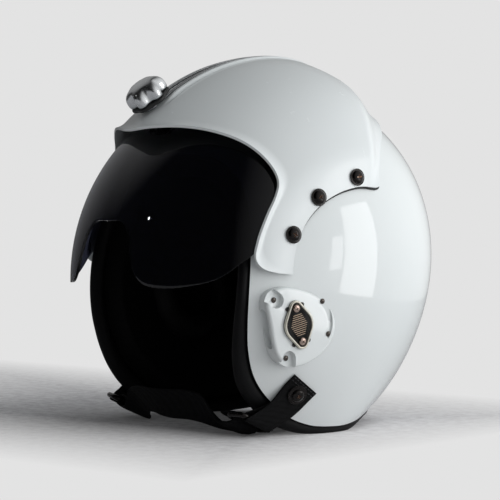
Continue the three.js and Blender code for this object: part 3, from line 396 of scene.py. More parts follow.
def swept(radius, half_spread, power, across, lift):
    """A place on a form swept about the visor's axis, and its distance from that axis."""
    x = half_spread * np.sign(across) * np.abs(np.sin(across)) ** (2 / power)
    rho = radius * np.abs(np.cos(across)) ** (2 / power)
    y = visor_axis[1] - rho * np.cos(lift)
    z = visor_axis[2] + rho * np.sin(lift)
    return np.stack([x, y, z], -1), rho


lens_radius, lens_spread, lens_power = 148, 124.3, 2.4
cover_radius, cover_spread, cover_power = 158.5, 135.4, 2.1
# Where the cover comes down on the shell it leaves a gap under the wall of its solid
cover_seat = 0.8 + 2.5
ridge_middle, ridge_half_width, ridge_height = 9.4, 2.7, 1.5
keel_height, keel_width = 4.9, 40
side_end, rear_end = 64, 116


def on_housing(across, lift, out=0.0, ridged=True):
    """The cover's outside: free over the visor, down on the shell at its sides and rear, with a
    keel along the crown and a ridge on either side of the slot, each with a groove and a lip."""
    degrees = np.degrees(lift)
    # Past the top it draws in towards the back of the shell
    radius = cover_radius * (1 - 0.155 * (np.maximum(degrees - 80, 0) / 43) ** 2.6)
    point, rho = swept(radius, cover_spread, cover_power, across, lift)
    arm = point - shell_centre
    length = np.linalg.norm(arm, axis=-1)
    d = arm / length[..., None]
    seat = skin_reach(d) + cover_seat
    # It stands free where it is far from the axis, and fades down on its seat before its rear edge
    wing = np.abs(across) / math.radians(side_end)
    rear_limit = rear_end - 19 * wing ** 1.8
    rear_fade = between(15, 9, np.minimum(wing, 1))
    stand = smoother(63, 99, rho) * smooth(0, rear_fade, rear_limit - degrees)
    keel = keel_height * np.exp(-(point[..., 0] / keel_width) ** 2) * smooth(114, 92, degrees)
    reach = seat + stand * (length - seat) + keel + out
    if ridged:
        # From the knob's place to just ahead of the rear edge, across by shares of the half width
        along = smooth(50, 57, degrees) * smooth(108, 101, degrees)
        from_ridge = (np.abs(point[..., 0]) - ridge_middle) / ridge_half_width
        ridge = ridge_height * smooth(1, 0.35, np.abs(from_ridge))
        groove = 1.1 * np.exp(-((from_ridge - 1.3) / 0.26) ** 2)
        lip = 0.45 * np.exp(-((from_ridge - 2.1) / 0.3) ** 2)
        reach = reach + (ridge - groove + lip) * along
    return d * reach[..., None] + shell_centre


# Materials
def tint(code):
    """The linear colour of an sRGB hex value."""
    parts = [int(code[i:i + 2], 16) / 255 for i in (1, 3, 5)]
    return (*[c / 12.92 if c <= 0.04045 else ((c + 0.055) / 1.055) ** 2.4 for c in parts], 1)


def add_node(tree, kind, inputs=(), output=0, **settings):
    """Adds a node with its settings and links, and gives the output asked for. The inputs are a
    list in the order of its sockets, or a table by their names or numbers. Text is a colour."""
    made = tree.nodes.new("ShaderNode" + kind)
    for key, value in settings.items():
        setattr(made, key, value)
    for key, value in inputs.items() if isinstance(inputs, dict) else enumerate(inputs):
        if isinstance(value, bpy.types.NodeSocket):
            tree.links.new(value, made.inputs[key])
        else:
            made.inputs[key].default_value = tint(value) if isinstance(value, str) else value
    return made.outputs[output]


def new_finish(name, **sockets):
    """A material with sockets of its shader set, its node tree, and its Object coordinates."""
    finish = bpy.data.materials.new(name)
    finish.use_nodes = True
    tree = finish.node_tree
    for key, value in sockets.items():
        tree.nodes["Principled BSDF"].inputs[key.replace("_", " ")].default_value = value
    return finish, tree, add_node(tree, "TexCoord", output="Object")


def complete(finish, colours=None, rough=None, raised=None):
    """Links a material's shader: colours is (share, first, second), rough is (value, lowest,
    highest, and the roughness at both), and raised is (height, depth in mm, strength)."""
    tree = finish.node_tree
    linked = {}
    if colours:
        mixed = dict(zip((0, 6, 7), colours))
        linked["Base Color"] = add_node(tree, "Mix", mixed, 2, data_type="RGBA")
    if rough:
        linked["Roughness"] = add_node(tree, "MapRange", rough)
    if raised:
        height, depth_mm, strength = raised
        linked["Normal"] = add_node(tree, "Bump", {"Height": height, "Distance": depth_mm * MM,
                                                   "Strength": strength})
    for key, output in linked.items():
        tree.links.new(output, tree.nodes["Principled BSDF"].inputs[key])
    return finish


def gloss_paint(name, body, thin, polished=0.04, rubbed=0.13, coat=0.4):
    """Two-pack gloss enamel sprayed on a laminate and buffed: deep white with a clear wet shine,
    a trace of orange peel, and faint rub marks that only show in the highlights. Where the skin's
    own bare_inside value is 1, the laminate is left black."""
    finish, tree, place = new_finish(name, IOR=1.5, Coat_Weight=coat, Coat_Roughness=0.03,
                                     Coat_IOR=1.5)
    clouds = add_node(tree, "TexNoise", {"Vector": place, "Scale": METRE / 90, "Detail": 2})
    white = add_node(tree, "Mix", {0: clouds, 6: body, 7: thin}, 2, data_type="RGBA")
    bare = add_node(tree, "Attribute", output="Fac", attribute_name="bare_inside")
    drawn = add_node(tree, "Mapping", {"Vector": place, "Scale": (1, 1, 0.25),
                                       "Rotation": (0.4, 0.2, 0)})
    rubs = add_node(tree, "TexNoise", {"Vector": drawn, "Scale": METRE / 9, "Detail": 5,
                                       "Roughness": 0.65})
    peel = add_node(tree, "TexNoise", {"Vector": place, "Scale": METRE / 4.5, "Detail": 1})
    return complete(finish, (bare, white, "#0c0c0c"), (rubs, 0.35, 0.8, polished, rubbed),
                    (peel, 0.05, 0.2))


def smoked_lens():
    """Injection moulded polycarbonate tinted dark blue grey in the mass, hard coated: it mirrors
    like glass at its edges, lets about a fortieth of the light through, and has hairline rubs."""
    finish, tree, place = new_finish("smoked_polycarbonate", IOR=1.5, Transmission_Weight=1.0,
                                     Base_Color=tint("#2a2c38"))
    drawn = add_node(tree, "Mapping", {"Vector": place, "Scale": (0.15, 1, 1),
                                       "Rotation": (0, 0.5, 0.3)})
    hairs = add_node(tree, "TexNoise", {"Vector": drawn, "Scale": METRE / 1.2, "Detail": 3})
    return complete(finish, rough=(hairs, 0.45, 0.8, 0.015, 0.05))


def leather(name, dark, light, pebble_mm, roughness, depth_mm=0.12):
    """Drum dyed cowhide with a rolled pebble grain: near black, its colour lighter on the raised
    pebbles as painted sheen and darker in the creases between them as painted shade."""
    finish, tree, place = new_finish(name, IOR=1.45, Specular_IOR_Level=0.22)
    pebble = add_node(tree, "TexVoronoi", {"Vector": place, "Scale": METRE / pebble_mm,
                                           "Randomness": 0.9}, feature="DISTANCE_TO_EDGE")
    pebble_height_and_shade = add_node(tree, "MapRange", [pebble, 0, 0.16, 0, 1])
    worn = add_node(tree, "TexNoise", {"Vector": place, "Scale": METRE / 26, "Detail": 4})
    # The grain's colour is painted light: pale on the raised pebbles, painted shade in the creases,
    # mixed with wear
    tone = add_node(tree, "Math", [pebble_height_and_shade, worn], operation="MULTIPLY")
    return complete(finish, (tone, dark, light),
                    (worn, 0.3, 0.7, roughness - 0.06, roughness + 0.08), (pebble_height_and_shade, depth_mm, 0.5))


strap_width = 24
weave_pitch = 1.3


def webbing(name, dark, light, length_mm):
    """Nylon webbing woven in a herringbone: matt black, with a weak sheen painted lighter on each
    thread's raised crown. The weave follows the strap's own length and width."""
    finish, tree, place = new_finish(name, IOR=1.5, Specular_IOR_Level=0.14)
    laid = add_node(tree, "TexCoord", output="UV")
    threads = (strap_width / weave_pitch, length_mm / weave_pitch, 1)
    flat = add_node(tree, "Mapping", {"Vector": laid, "Scale": threads})
    parts = add_node(tree, "SeparateXYZ", [flat]).node.outputs
    fold = add_node(tree, "Math", [parts["X"], 4], operation="PINGPONG")
    slant = add_node(tree, "Math", [fold, parts["Y"]], operation="ADD")
    twill = add_node(tree, "Math", [slant, 1], operation="PINGPONG")
    cross = add_node(tree, "Math", [parts["X"], 0.5], operation="PINGPONG")
    thread = add_node(tree, "Math", [twill, cross], operation="ADD")
    fuzz = add_node(tree, "TexNoise", {"Vector": place, "Scale": METRE / 0.6, "Detail": 2})
    # The colour follows each thread's height: the lighter crowns are painted sheen
    return complete(finish, (thread, dark, light), (fuzz, 0.3, 0.7, 0.62, 0.85),
                    (thread, 0.25, 0.6))


def metal(name, colour, second, low, high, patch_mm=12, stretch=(1, 1, 1), peel_mm=0.0,
          painted_recess_tone=None, film=0.0):
    """Bare or plated metal: low and high are the roughness of its clean and handled patches, the
    recess colour is painted inside a screw's recess as painted shade where it is dark and a painted
    highlight where it is pale, and film is how much oil or lacquer lies on it."""
    finish, tree, place = new_finish(name, Metallic=1.0, Coat_Weight=film, Coat_Roughness=0.14)
    place = add_node(tree, "Mapping", {"Vector": place, "Scale": stretch})
    smear = add_node(tree, "TexNoise", {"Vector": place, "Scale": METRE / patch_mm, "Detail": 4,
                                        "Roughness": 0.6})
    colours = (smear, colour, second)
    # A screw's recess takes its own colour: painted shade where that colour is dark, a painted
    # highlight where it is pale
    if painted_recess_tone:
        tone = add_node(tree, "Mix", dict(zip((0, 6, 7), colours)), 2, data_type="RGBA")
        recess = add_node(tree, "Attribute", output="Fac", attribute_name="screw_recess")
        colours = (recess, tone, painted_recess_tone)
    raised = None
    if peel_mm:
        peel = add_node(tree, "TexNoise", {"Vector": place, "Scale": METRE / 1.5, "Detail": 2})
        raised = (peel, peel_mm, 0.4)
    return complete(finish, colours, (smear, 0.35, 0.7, low, high), raised)


def moulded(name, dark, light, roughness, texture_mm=0.7, depth_mm=0.05, shine=0.5):
    """Moulded plastic or rubber with a fine spark-eroded skin, satin and slightly uneven."""
    finish, tree, place = new_finish(name, IOR=1.5, Specular_IOR_Level=shine)
    clouds, patches, texture = (
        add_node(tree, "TexNoise", {"Vector": place, "Scale": METRE / size_mm, "Detail": detail})
        for size_mm, detail in ((15, 3), (5, 3), (texture_mm, 2)))
    return complete(finish, (clouds, dark, light),
                    (patches, 0.3, 0.7, roughness - 0.07, roughness + 0.07),
                    (texture, depth_mm, 0.4))


def cloth_foam():
    """Crushable foam faced with brushed black cloth: dull, with soft pills and open cells, painted
    shade darker in their pits.
    """
    finish, tree, place = new_finish("cloth_faced_foam", Roughness=0.95, Specular_IOR_Level=0.2)
    cells = add_node(tree, "TexVoronoi", {"Vector": place, "Scale": METRE / 2.4})
    # Darker colour in the cells' pits is painted shade
    return complete(finish, (cells, "#060606", "#0d0d0e"), raised=(cells, 0.35, 0.5))


shell_paint = gloss_paint("gloss_white_shell_enamel", "#dfe3e3", "#e4e7e6")
housing_paint = gloss_paint("semi_gloss_white_housing_enamel", "#e0e4e4", "#e5e8e8",
                            polished=0.2, rubbed=0.3, coat=0.08)
lens_finish = smoked_lens()
roll_leather = leather("black_edge_leather", "#080809", "#101012", 1.1, 0.56, 0.04)
pad_leather = leather("black_pad_leather", "#0b0a0b", "#141313", 2.0, 0.55)
tab_webbing = webbing("black_tab_webbing", "#050505", "#0f0f10", 110)
chin_webbing = webbing("black_chin_webbing", "#050506", "#101012", 250)
# Nickel-chrome plate on a die casting: mirror bright, faintly blue, with finger smears
chrome = metal("polished_chrome", "#eceef0", "#e2e5e7", 0.16, 0.32, 14)
# Stainless strip, drawn and brushed along its length: grey with soft streaks
brushed_steel = metal("brushed_stainless", "#a9abad", "#8f9193", 0.22, 0.38, 2.5, (6, 0.5, 0.5))
# Steel blackened in hot oil: brown black and satin; its recess is painted pale, as painted
# highlight and as bare metal a driver has rubbed
blackened_steel = metal("oil_blackened_steel", "#1f1a18", "#151211", 0.22, 0.36, 3,
                        peel_mm=0.04, painted_recess_tone="#b39a88", film=0.5)
# Nickel silver, tumbled: warm pale grey with a low polish
nickel_silver = metal("nickel_silver", "#e4e0d4", "#d2cec1", 0.34, 0.46, 4)
# Coppered steel screws, their plate worn thin on the crown, their recess painted dark as painted
# shade
screw_copper = metal("worn_copper_plate", "#dcc8bd", "#b09788", 0.12, 0.26, 1.6, painted_recess_tone="#33251f")
# Bare bronze where the plate's raised rules wore through their enamel: dull, brown and pale
rule_bronze = metal("rubbed_bronze", "#c4b09a", "#8d7b6a", 0.3, 0.5, 1.2)
# Small steel pins, grey and handled, their recess painted dark as painted shade
pin_steel = metal("handled_grey_steel", "#77706b", "#4b4541", 0.2, 0.36, 1.5, painted_recess_tone="#0e0c0b")
# Enamel baked on the badge plates: black, smooth and only faintly shiny
enamel_black = moulded("black_stove_enamel", "#050505", "#0b0b0b", 0.34, 0.9, 0.02, shine=0.2)
# Gasket rubber: dull charcoal
rubber_black = moulded("black_gasket_rubber", "#131312", "#1d1d1c", 0.6)
# Nylon: charcoal with a low satin shine
nylon_black = moulded("black_moulded_nylon", "#151515", "#202020", 0.42)
# Waxed thread: a little paler than the webbing it is sewn through
thread_black = moulded("waxed_black_thread", "#202022", "#2e2e31", 0.5, 0.3)
foam_cloth = cloth_foam()

# Shell, liner and edge roll
shell_middle = to_metres(shell_centre)
liner_wall, liner_clearance = 20, 0.6
roll_width, roll_thick = 13.6, 11
roll_gap, roll_proud = 0.3, 0.6

shell = formed_sheet("shell_skin", 288, 84, lambda s, t: to_metres(on_skin(toward_rim(t, s))),
                     merge=True, centre=shell_middle)
outside_faces = len(shell.data.polygons)
thicken(shell, shell_wall)
bare_inside = shell.data.attributes.new("bare_inside", "FLOAT", "FACE")
for face in shell.data.polygons[outside_faces:]:
    bare_inside.data[face.index].value = 1
shade(shell, 50)
dress(shell, shell_paint, ["outer_shell"])


def lay_liner(s, t):
    return to_metres(on_skin(toward_rim(t, s, shortfall=0.004),
                             shell_wall + liner_clearance))


liner = formed_sheet("liner_shell", 144, 48, lay_liner, merge=True, centre=shell_middle)
thicken(liner, liner_wall)
round_edges(liner, 3, 4, 50)
shade(liner, 50)
dress(liner, foam_cloth, ["impact_liner"])


def lay_roll(s, t):
    """The oval leather roll, flush with the shell's outside and flat where the helmet rests. Its
    seam is a shallow pinch along the inside."""
    rim = rim_heading(s)
    edge = on_skin(rim)
    out = skin_normal(rim)
    away = edge - on_skin(toward_rim(0.97, s))
    away = unit(away - out * np.sum(away * out, -1)[..., None])
    turn = t * math.tau
    seam = 0.35 * np.exp(-(np.mod(turn - 3.55, math.tau) / 0.16) ** 2)
    along = roll_gap + roll_width / 2 + (roll_width / 2 - seam) * np.cos(turn)
    outward = roll_proud - roll_thick / 2 + (roll_thick / 2 - seam) * np.sin(turn)
    laid = to_metres(edge + away * along[..., None] + out * outward[..., None])
    laid[:, 2] = np.maximum(laid[:, 2], 0)
    return laid


roll = formed_sheet("edge_roll_leather", 320, 32, lay_roll, merge=True)
shade(roll, 60)
dress(roll, roll_leather, ["edge_roll"])


# Visor and its housing
lens_wall, cover_wall = 2, 1.9
lip_depth, lip_flare = 7, 2.6


def lay_lens(s, t):
    place = s * 2 - 1
    low, high = lens_low(np.abs(place)), lens_high(np.abs(place))
    across = between(low[..., 0], high[..., 0], t) * np.sign(place)
    lift = between(low[..., 1], high[..., 1], t)
    return to_metres(swept(lens_radius, lens_spread, lens_power, across, lift)[0])


lens = formed_sheet("smoke_lens", 200, 60, lay_lens, centre=to_metres(visor_axis))
thicken(lens, lens_wall, offset=0)
round_edges(lens, 0.55, 3, 50)
shade(lens, 40)
dress(lens, lens_finish, ["visor_lens"], "visor")


def cover_point(place, share, out=0.0):
    """A place on the cover: from -1 at its right side to 1 at its left, and a share of the way
    from its lip to its rear edge."""
    lip, rear = lip_curve(np.abs(place)), rear_curve(np.abs(place))
    across = between(lip[..., 0], rear[..., 0], share) * np.sign(place)
    return on_housing(across, between(lip[..., 1], rear[..., 1], share), out)


def lay_housing(s, t):
    """The cover, its columns closer in the middle and its rows at the flared lip."""
    side = s * 2 - 1
    place = np.sign(side) * np.abs(side) ** 1.8
    row = t ** 1.5
    span = np.linalg.norm(cover_point(place, 0) - cover_point(place, 1), axis=-1)
    lip_share = np.minimum(lip_depth / span, 0.4)
    flare = lip_flare * np.maximum(1 - row / lip_share, 0) ** 2 * smooth(1, 0.84, np.abs(place))
    laid = cover_point(place, row)
    return to_metres(laid + unit(laid - shell_centre) * flare[..., None])


# The slot's half width, and the lifts in degrees between which it runs
slot_half = 3.2
slot_start, slot_end = 48.6, 90.6
housing = formed_sheet("visor_cover", 400, 90, lay_housing, centre=shell_middle)
edit_all(housing)
bpy.ops.mesh.select_all(action="DESELECT")
bpy.ops.object.mode_set(mode="OBJECT")
for face in housing.data.polygons:
    spot = np.array(face.center) / MM - shift - visor_axis
    lift = math.degrees(math.atan2(spot[2], -spot[1]))
    face.select = bool(abs(spot[0]) < slot_half and slot_start < lift < slot_end)
bpy.ops.object.mode_set(mode="EDIT")
bpy.ops.mesh.delete(type="FACE")
bpy.ops.object.mode_set(mode="OBJECT")
thicken(housing, cover_wall)
round_edges(housing, 0.7, 3, 50)
shade(housing, 40)
dress(housing, housing_paint, ["visor_housing"])

# A dark bead along the cover's rear edge is painted shadow for the gap beneath it
shadow_bead_sections, shadow_bead_rows = 12, 360
# The bead's middle lies so deep under the cover's outside, and so far past its edge
shadow_bead_depth, shadow_bead_past = 2.3, 0.35


def lay_shadow_bead(s, t):
    """A black bead under the cover's rear edge, from side to side, laid there as painted shadow of
    the gap under that edge. It thins to a thread at the cover's tips."""
    turn = np.rint(s * shadow_bead_sections) / shadow_bead_sections * math.tau
    place = t * 2 - 1
    edge = cover_point(place, 1, -shadow_bead_depth)
    past = unit(edge - cover_point(place, 0.97, -shadow_bead_depth))
    out = unit(edge - shell_centre)
    rear_lift = np.degrees(rear_curve(np.abs(place))[..., 1])
    radius = 0.15 + 0.85 * smooth(26, 52, rear_lift)
    ring = past * np.cos(turn)[..., None] + out * np.sin(turn)[..., None]
    return to_metres(edge + past * shadow_bead_past + ring * radius[..., None])


shadow_bead = formed_sheet("cover_edge_shadow_bead", shadow_bead_sections, shadow_bead_rows, lay_shadow_bead, cap=True)
shade(shadow_bead, 60)
dress(shadow_bead, rubber_black)

strip_wall, strip_gap = 1.2, 0.3
strip_inner, strip_outer = 2.9, 6.2
strip_radius = 165
strip_run = math.radians(slot_end - slot_start) / 2 * strip_radius - strip_inner


def lay_strip(s, t):
    """The slotted strip: two straight sides along the slot and two half-round ends."""
    reach = between(strip_inner, strip_outer, t)
    quarter = np.mod(s, 1) * 4
    part = np.floor(quarter).astype(int)
    local = quarter - part
    angle = local * math.pi
    rounded = part % 2 == 1
    x = np.where(rounded, reach * np.cos(angle), reach)
    y = np.where(rounded, strip_run + reach * np.sin(angle), between(-strip_run, strip_run, local))
    half = np.where(part < 2, 1, -1)
    across = half * np.sign(x) * np.arcsin((np.abs(x) / cover_spread) ** (cover_power / 2))
    lift = math.radians((slot_start + slot_end) / 2) + half * y / strip_radius
    return to_metres(on_housing(across, lift, strip_gap + strip_wall, ridged=False))


strip = formed_sheet("slotted_strip", 320, 4, lay_strip, merge=True, centre=shell_middle)
thicken(strip, strip_wall)
round_edges(strip, 0.3, 2, 50)
shade(strip, 35)
dress(strip, brushed_steel, ["visor_track"])


# Screws
def seat_matrix(origin, normal, way):
    """Stands a form on a place of the helmet, its own y as near to way as the normal lets it."""
    z = Vector(normal).normalized()
    x = Vector(way).cross(z).normalized()
    y = z.cross(x)
    turn = Matrix((x, y, z)).transposed().to_4x4()
    return Matrix.Translation(Vector(to_metres(np.array(origin)))) @ turn


def truss_screw(name, radius, rise, length, recess=0.42, flange=0.0):
    """A domed screw: its shank, a turned head with a flange if it has one, and a cross recess."""
    shank = radius * 0.42
    profile = [(shank * 0.8, -length), (shank, -length + shank * 0.3), (shank, -0.01)]
    if flange:
        head, low = radius - 1.1, flange
        profile += [(radius - 0.15, -0.01), (radius, 0.15), (radius, flange * 0.8),
                    (radius - 0.15, flange)]
    else:
        head, low = radius, rise * 0.18
        profile.append((head * 0.97, 0.0))
    for angle in np.linspace(0, math.pi / 2, 8):
        profile.append((max(head * math.cos(angle), head * 0.06),
                        low + (rise - low) * math.sin(angle)))
    screw = turned_form(name, profile)
    arm = radius * recess
    for turn in (0.4, 0.4 + math.pi / 2):
        tool = box_form((arm * 2, arm * 0.42, rise * 1.4), at(0, 0, rise * 1.02) @ about_z(turn))
        points = points_of(tool)
        low_end = points[:, 2] < points[:, 2].mean()
        points[low_end, :2] *= 0.55
        set_points(tool, points)
        cut_with(screw, tool)
    round_edges(screw, radius * 0.035, 2, 40)
    recessed = screw.data.attributes.new("screw_recess", "FLOAT", "FACE")
    for face in screw.data.polygons:
        spot = face.center / MM
        inside = math.hypot(spot.x, spot.y) < arm * 1.02 and 0.1 < spot.z < rise * 0.86
        recessed.data[face.index].value = float(inside)
    shade(screw, 35)
    return screw


def placed_copy(model, name, matrix, finish, node):
    made = model.copy()
    made.data = model.data.copy()
    made.name = made.data.name = name
    bpy.context.scene.collection.objects.link(made)
    made.data.transform(matrix)
    dress(made, finish, [node])


def side_spot(turn, lift, side):
    return on_housing(np.radians(turn) * side, np.radians(lift), ridged=False)


fixing_turn = 61.9
fixing = truss_screw("housing_screw_model", 6, 3.2, 8, flange=0.9)
for name, side in sides:
    for i, lift in enumerate((27.5, 53, 81)):
        origin = side_spot(fixing_turn, lift, side)
        across = side_spot(fixing_turn + 1, lift, side) - side_spot(fixing_turn - 1, lift, side)
        along = side_spot(fixing_turn, lift + 1, side) - side_spot(fixing_turn, lift - 1, side)
        normal = unit(np.cross(across, along))
        if normal @ (origin - shell_centre) < 0:
            normal = -normal
        matrix = seat_matrix(origin + normal * 0.6, normal, (0, 0, 1)) @ about_z(0.7 + 1.1 * i)
        placed_copy(fixing, f"cover_fixing_{name}_{i + 1}", matrix, blackened_steel,
                    f"housing_screw_{name}_{i + 1}")
bpy.data.objects.remove(fixing)


# Lock knob
# The knob stands at the low end of the slot, over the cover's crown, the strip and two gaps
knob_lift = math.radians(50.5)
knob_way = np.array([0.0, -math.cos(knob_lift), math.sin(knob_lift)])
crown_rise, collar_gap, collar_height, knob_gap = 6, 0.6, 3, 0.3
collar_bottom = cover_radius + crown_rise + strip_wall + collar_gap
knob_bottom = collar_bottom + collar_height + knob_gap


def stand_on_stem(obj, rho):
    obj.data.transform(seat_matrix(visor_axis + knob_way * rho, knob_way, (0, 0, 1)))


def scallop(obj, depth, inner, outer):
    """Draws the rim in at six finger hollows, from the inner radius outwards."""
    points = points_of(obj)
    radius = np.hypot(points[:, 0], points[:, 1])
    turn = np.arctan2(points[:, 1], points[:, 0])
    hollows = (0.5 - 0.5 * np.cos(turn * 6)) ** 1.2
    points[:, :2] *= (1 - depth * hollows * smooth(inner * MM, outer * MM, radius))[:, None]
    set_points(obj, points)


collar = turned_form("knob_collar", [
    (3.2, 0), (13.6, 0), (14.9, 0.3), (15.4, 0.9), (15.5, 1.8), (15.2, 2.5), (14.4, 2.95),
    (13.6, collar_height), (3.2, collar_height)], 144)
scallop(collar, 0.1, 8, 14)
stand_on_stem(collar, collar_bottom)
shade(collar, 35)
dress(collar, nylon_black, ["lock_collar"], "visor")

knob = turned_form("star_knob", [
    (12.6, 0), (14.4, 0.2), (15.2, 0.7), (15.5, 1.8), (15.6, 3.4), (15.5, 5.2), (15.2, 6.8),
    (14.5, 8.4), (13.3, 9.9), (11.8, 11.0), (10.2, 11.75), (8.4, 12.3), (6.4, 12.65), (4.2, 12.87),
    (2.2, 12.97), (0.6, 13.0)], 180)
scallop(knob, 0.2, 8.5, 14.5)
stand_on_stem(knob, knob_bottom)
shade(knob, 40)
dress(knob, chrome, ["lock_knob"], "knob")

# Ear covers
cover_outline = [(-19.5, 12), (-19.3, 22), (-15, 28.2), (-6, 29.8), (7, 25.5), (21, 16.5), (30, 5),
                 (31.8, -6), (27, -16), (15, -24), (0, -26.8), (-12.5, -24), (-18.8, -14)]
cover_middle = np.array([4.0, 2.0])
cover_place = (116, -53, 77)
cover_face = (1, -0.05, -0.06)
cover_lean = math.radians(14.5)
cover_bevel, cover_sink = 2.4, 34
well_radius, well_depth, well_run = 5.4, 4.6, 16
# Each well's place on the cover, and the way in which it runs out through the edge
wells = ((-11.5, 22.5, 128), (-10.5, -19, 258))
ledge_screws = ((24.5, 11.7), (24.5, -11.7))
ledge_depth = 1.4
ledge_middle, ledge_radius = 9.5, 18.2
hand_slot_length, hand_slot_width = 28, 5.5


def skin_block(side, out):
    """A thick curved block whose outer face is the shell's skin under the cover, raised by out."""
    def lay(s, t):
        return to_metres(off_skin(direction(between(35, 100, s) * side, between(-62, 14, t)), out))
    block = formed_sheet("skin_block", 90, 90, lay, centre=shell_middle)
    apply_modifier(block, "SOLIDIFY", thickness=50 * MM, offset=-1)
    face_out(block)
    return block


def build_cover(name, side):
    matrix = seat_matrix(mirrored(cover_place, side), mirrored(cover_face, side),
                         (0, -math.sin(cover_lean), math.cos(cover_lean)))
    columns = 144
    outline = spline(cover_outline, columns, closed=True)
    # Each level is a share of the flat top, a share of the bevel beyond it, and a height
    levels = [(share, 0, 0) for share in (0.02, 0.45, 0.8, 1)]
    levels += [(1, math.sin(angle), cover_bevel * (math.cos(angle) - 1))
               for angle in np.radians(range(15, 91, 15))]
    levels = np.array(levels + [(1, 1, -cover_sink)])

    def lay(s, t):
        full = outline[nearest(s, columns)]
        inner, outer, height = levels[np.rint(t * (len(levels) - 1)).astype(int)].T
        arm = full - cover_middle
        top = arm * (1 - cover_bevel / np.linalg.norm(arm, axis=1, keepdims=True))
        flat = cover_middle + top * inner[:, None] + (arm - top) * outer[:, None]
        return np.c_[flat[:, 0] * side, flat[:, 1], height] * MM
    cover = formed_sheet(f"ear_boss_{name}", columns, len(levels) - 1, lay, cap=True)

    tools = [skin_block(side, 0.4)]
    tools[0].data.transform(matrix.inverted())
    for u, v, way in wells:
        turn = math.radians(way)
        deselect()
        bpy.ops.mesh.primitive_cylinder_add(vertices=40, radius=well_radius * MM,
                                            depth=well_depth * 2 * MM)
        tools.append(bpy.context.object)
        tools[-1].data.transform(at(u * side, v, 0))
        run_out = at((u + math.cos(turn) * well_run / 2) * side,
                     v + math.sin(turn) * well_run / 2, 0)
        tools.append(box_form((well_run, well_radius * 2, well_depth * 2),
                              run_out @ about_z(turn if side > 0 else math.pi - turn)))

    def lay_groove(s, t):
        angle = math.radians(46) * (s * 2 - 1)
        corner = nearest(t, 4)
        reach = ledge_radius + np.array([-2.1, 2.0, 1.9, -2.0])[corner]
        z = np.array([2.0, 2.0, -1.5, -1.5])[corner]
        return np.c_[(ledge_middle + reach * np.cos(angle)) * side, reach * np.sin(angle), z] * MM
    tools.append(formed_sheet("groove_tool", 36, 4, lay_groove, cap=True))

    def lay_hand_slot(s, t):
        angle = s * math.tau
        straight = np.where(np.cos(angle) > 0, 1, -1) * (hand_slot_length - hand_slot_width) / 2
        v = 4 + straight + np.cos(angle) * hand_slot_width / 2
        drop = -7 + np.sin(angle) * 3.8
        return np.c_[(-19.5 + between(-4, 6, t)) * side, v, drop] * MM
    tools.append(formed_sheet("slot_tool", 48, 1, lay_hand_slot, cap=True))
    cut_with(cover, *tools)
    round_edges(cover, 0.55, 3, 38)
    shade(cover, 38)
    cover.data.transform(matrix)
    dress(cover, shell_paint, [f"ear_cover_{name}"])
    return matrix


# Badges
lozenge_reach, lozenge_tip, lozenge_side = 12, 5, 11.5
arc_points = 24


def lozenge(offset):
    """The badge's outline, moved out by an offset: two small arcs at its tips, two large sides."""
    tilt = math.asin((lozenge_side - lozenge_tip) / lozenge_reach)
    arcs = [(lozenge_reach, lozenge_tip, tilt, math.pi - tilt),
            (0, lozenge_side, math.pi - tilt, math.pi + tilt),
            (-lozenge_reach, lozenge_tip, math.pi + tilt, math.tau - tilt),
            (0, lozenge_side, -tilt, tilt)]
    points = []
    for centre, radius, start, end in arcs:
        for angle in np.linspace(start, end, arc_points):
            points.append(((radius + offset) * math.cos(angle),
                           centre + (radius + offset) * math.sin(angle)))
    return np.array(points)


def lozenge_band(name, sections):
    """A closed band round the lozenge: sections are (offset, height) round its profile."""
    lines = np.stack([lozenge(offset) for offset, _ in sections])
    heights = np.array([height for _, height in sections])
    count, last = lines.shape[1], len(sections)

    def lay(s, t):
        row = nearest(t, last)
        return np.c_[lines[row, nearest(s, count)], heights[row]] * MM
    return formed_sheet(name, count, last, lay, merge=True)


def build_badge(name, matrix, side):
    seat = matrix @ at(1.1 * side, 2, 0)
    rim = lozenge_band(f"badge_frame_{name}", [
        (0, 1.1), (0, 2.1), (-0.18, 2.5), (-0.55, 2.7), (-1.0, 2.7), (-1.35, 2.55), (-1.6, 2.2),
        (-1.7, 1.8), (-1.7, 1.1)])
    border = lozenge_band("badge_border", [
        (-2.0, 1.1), (-2.0, 1.9), (-2.1, 2.0), (-5.0, 2.0), (-5.0, 1.1)])
    fill = turned_form("badge_fill", [(6.6, 1.1), (6.6, 2.0)])
    points = points_of(fill)
    points[:, 1] *= 1.9
    set_points(fill, points)
    plate = join_all(f"badge_field_{name}", [fill, border])
    # A plain ruled field, the plate bears nothing else
    rules = []
    for height in np.arange(-5, 6) * 1.4:
        half = 6.6 - abs(height) * 0.45
        rules.append(box_form((half * 2, 0.36, 0.24), at(0, height, 2.04)))
    ruled = join_all(f"badge_rules_{name}", rules)
    for piece, angle in ((rim, 50), (plate, 30), (ruled, 30)):
        piece.data.transform(seat)
        shade(piece, angle)
    dress(rim, nickel_silver, [f"badge_rim_{name}"])
    dress(plate, enamel_black, [f"badge_plate_{name}"])
    dress(ruled, rule_bronze)

    screw = truss_screw("badge_screw_model", 2.7, 1.4, 3, recess=0.6)
    for i, v in enumerate((-11.6, 11.6)):
        placed_copy(screw, f"badge_fixing_{name}_{i + 1}",
                    seat @ at(0, v, 2.3) @ about_z(0.35 + 0.9 * i), screw_copper,
                    f"badge_screw_{name}_{i + 1}")
    bpy.data.objects.remove(screw)


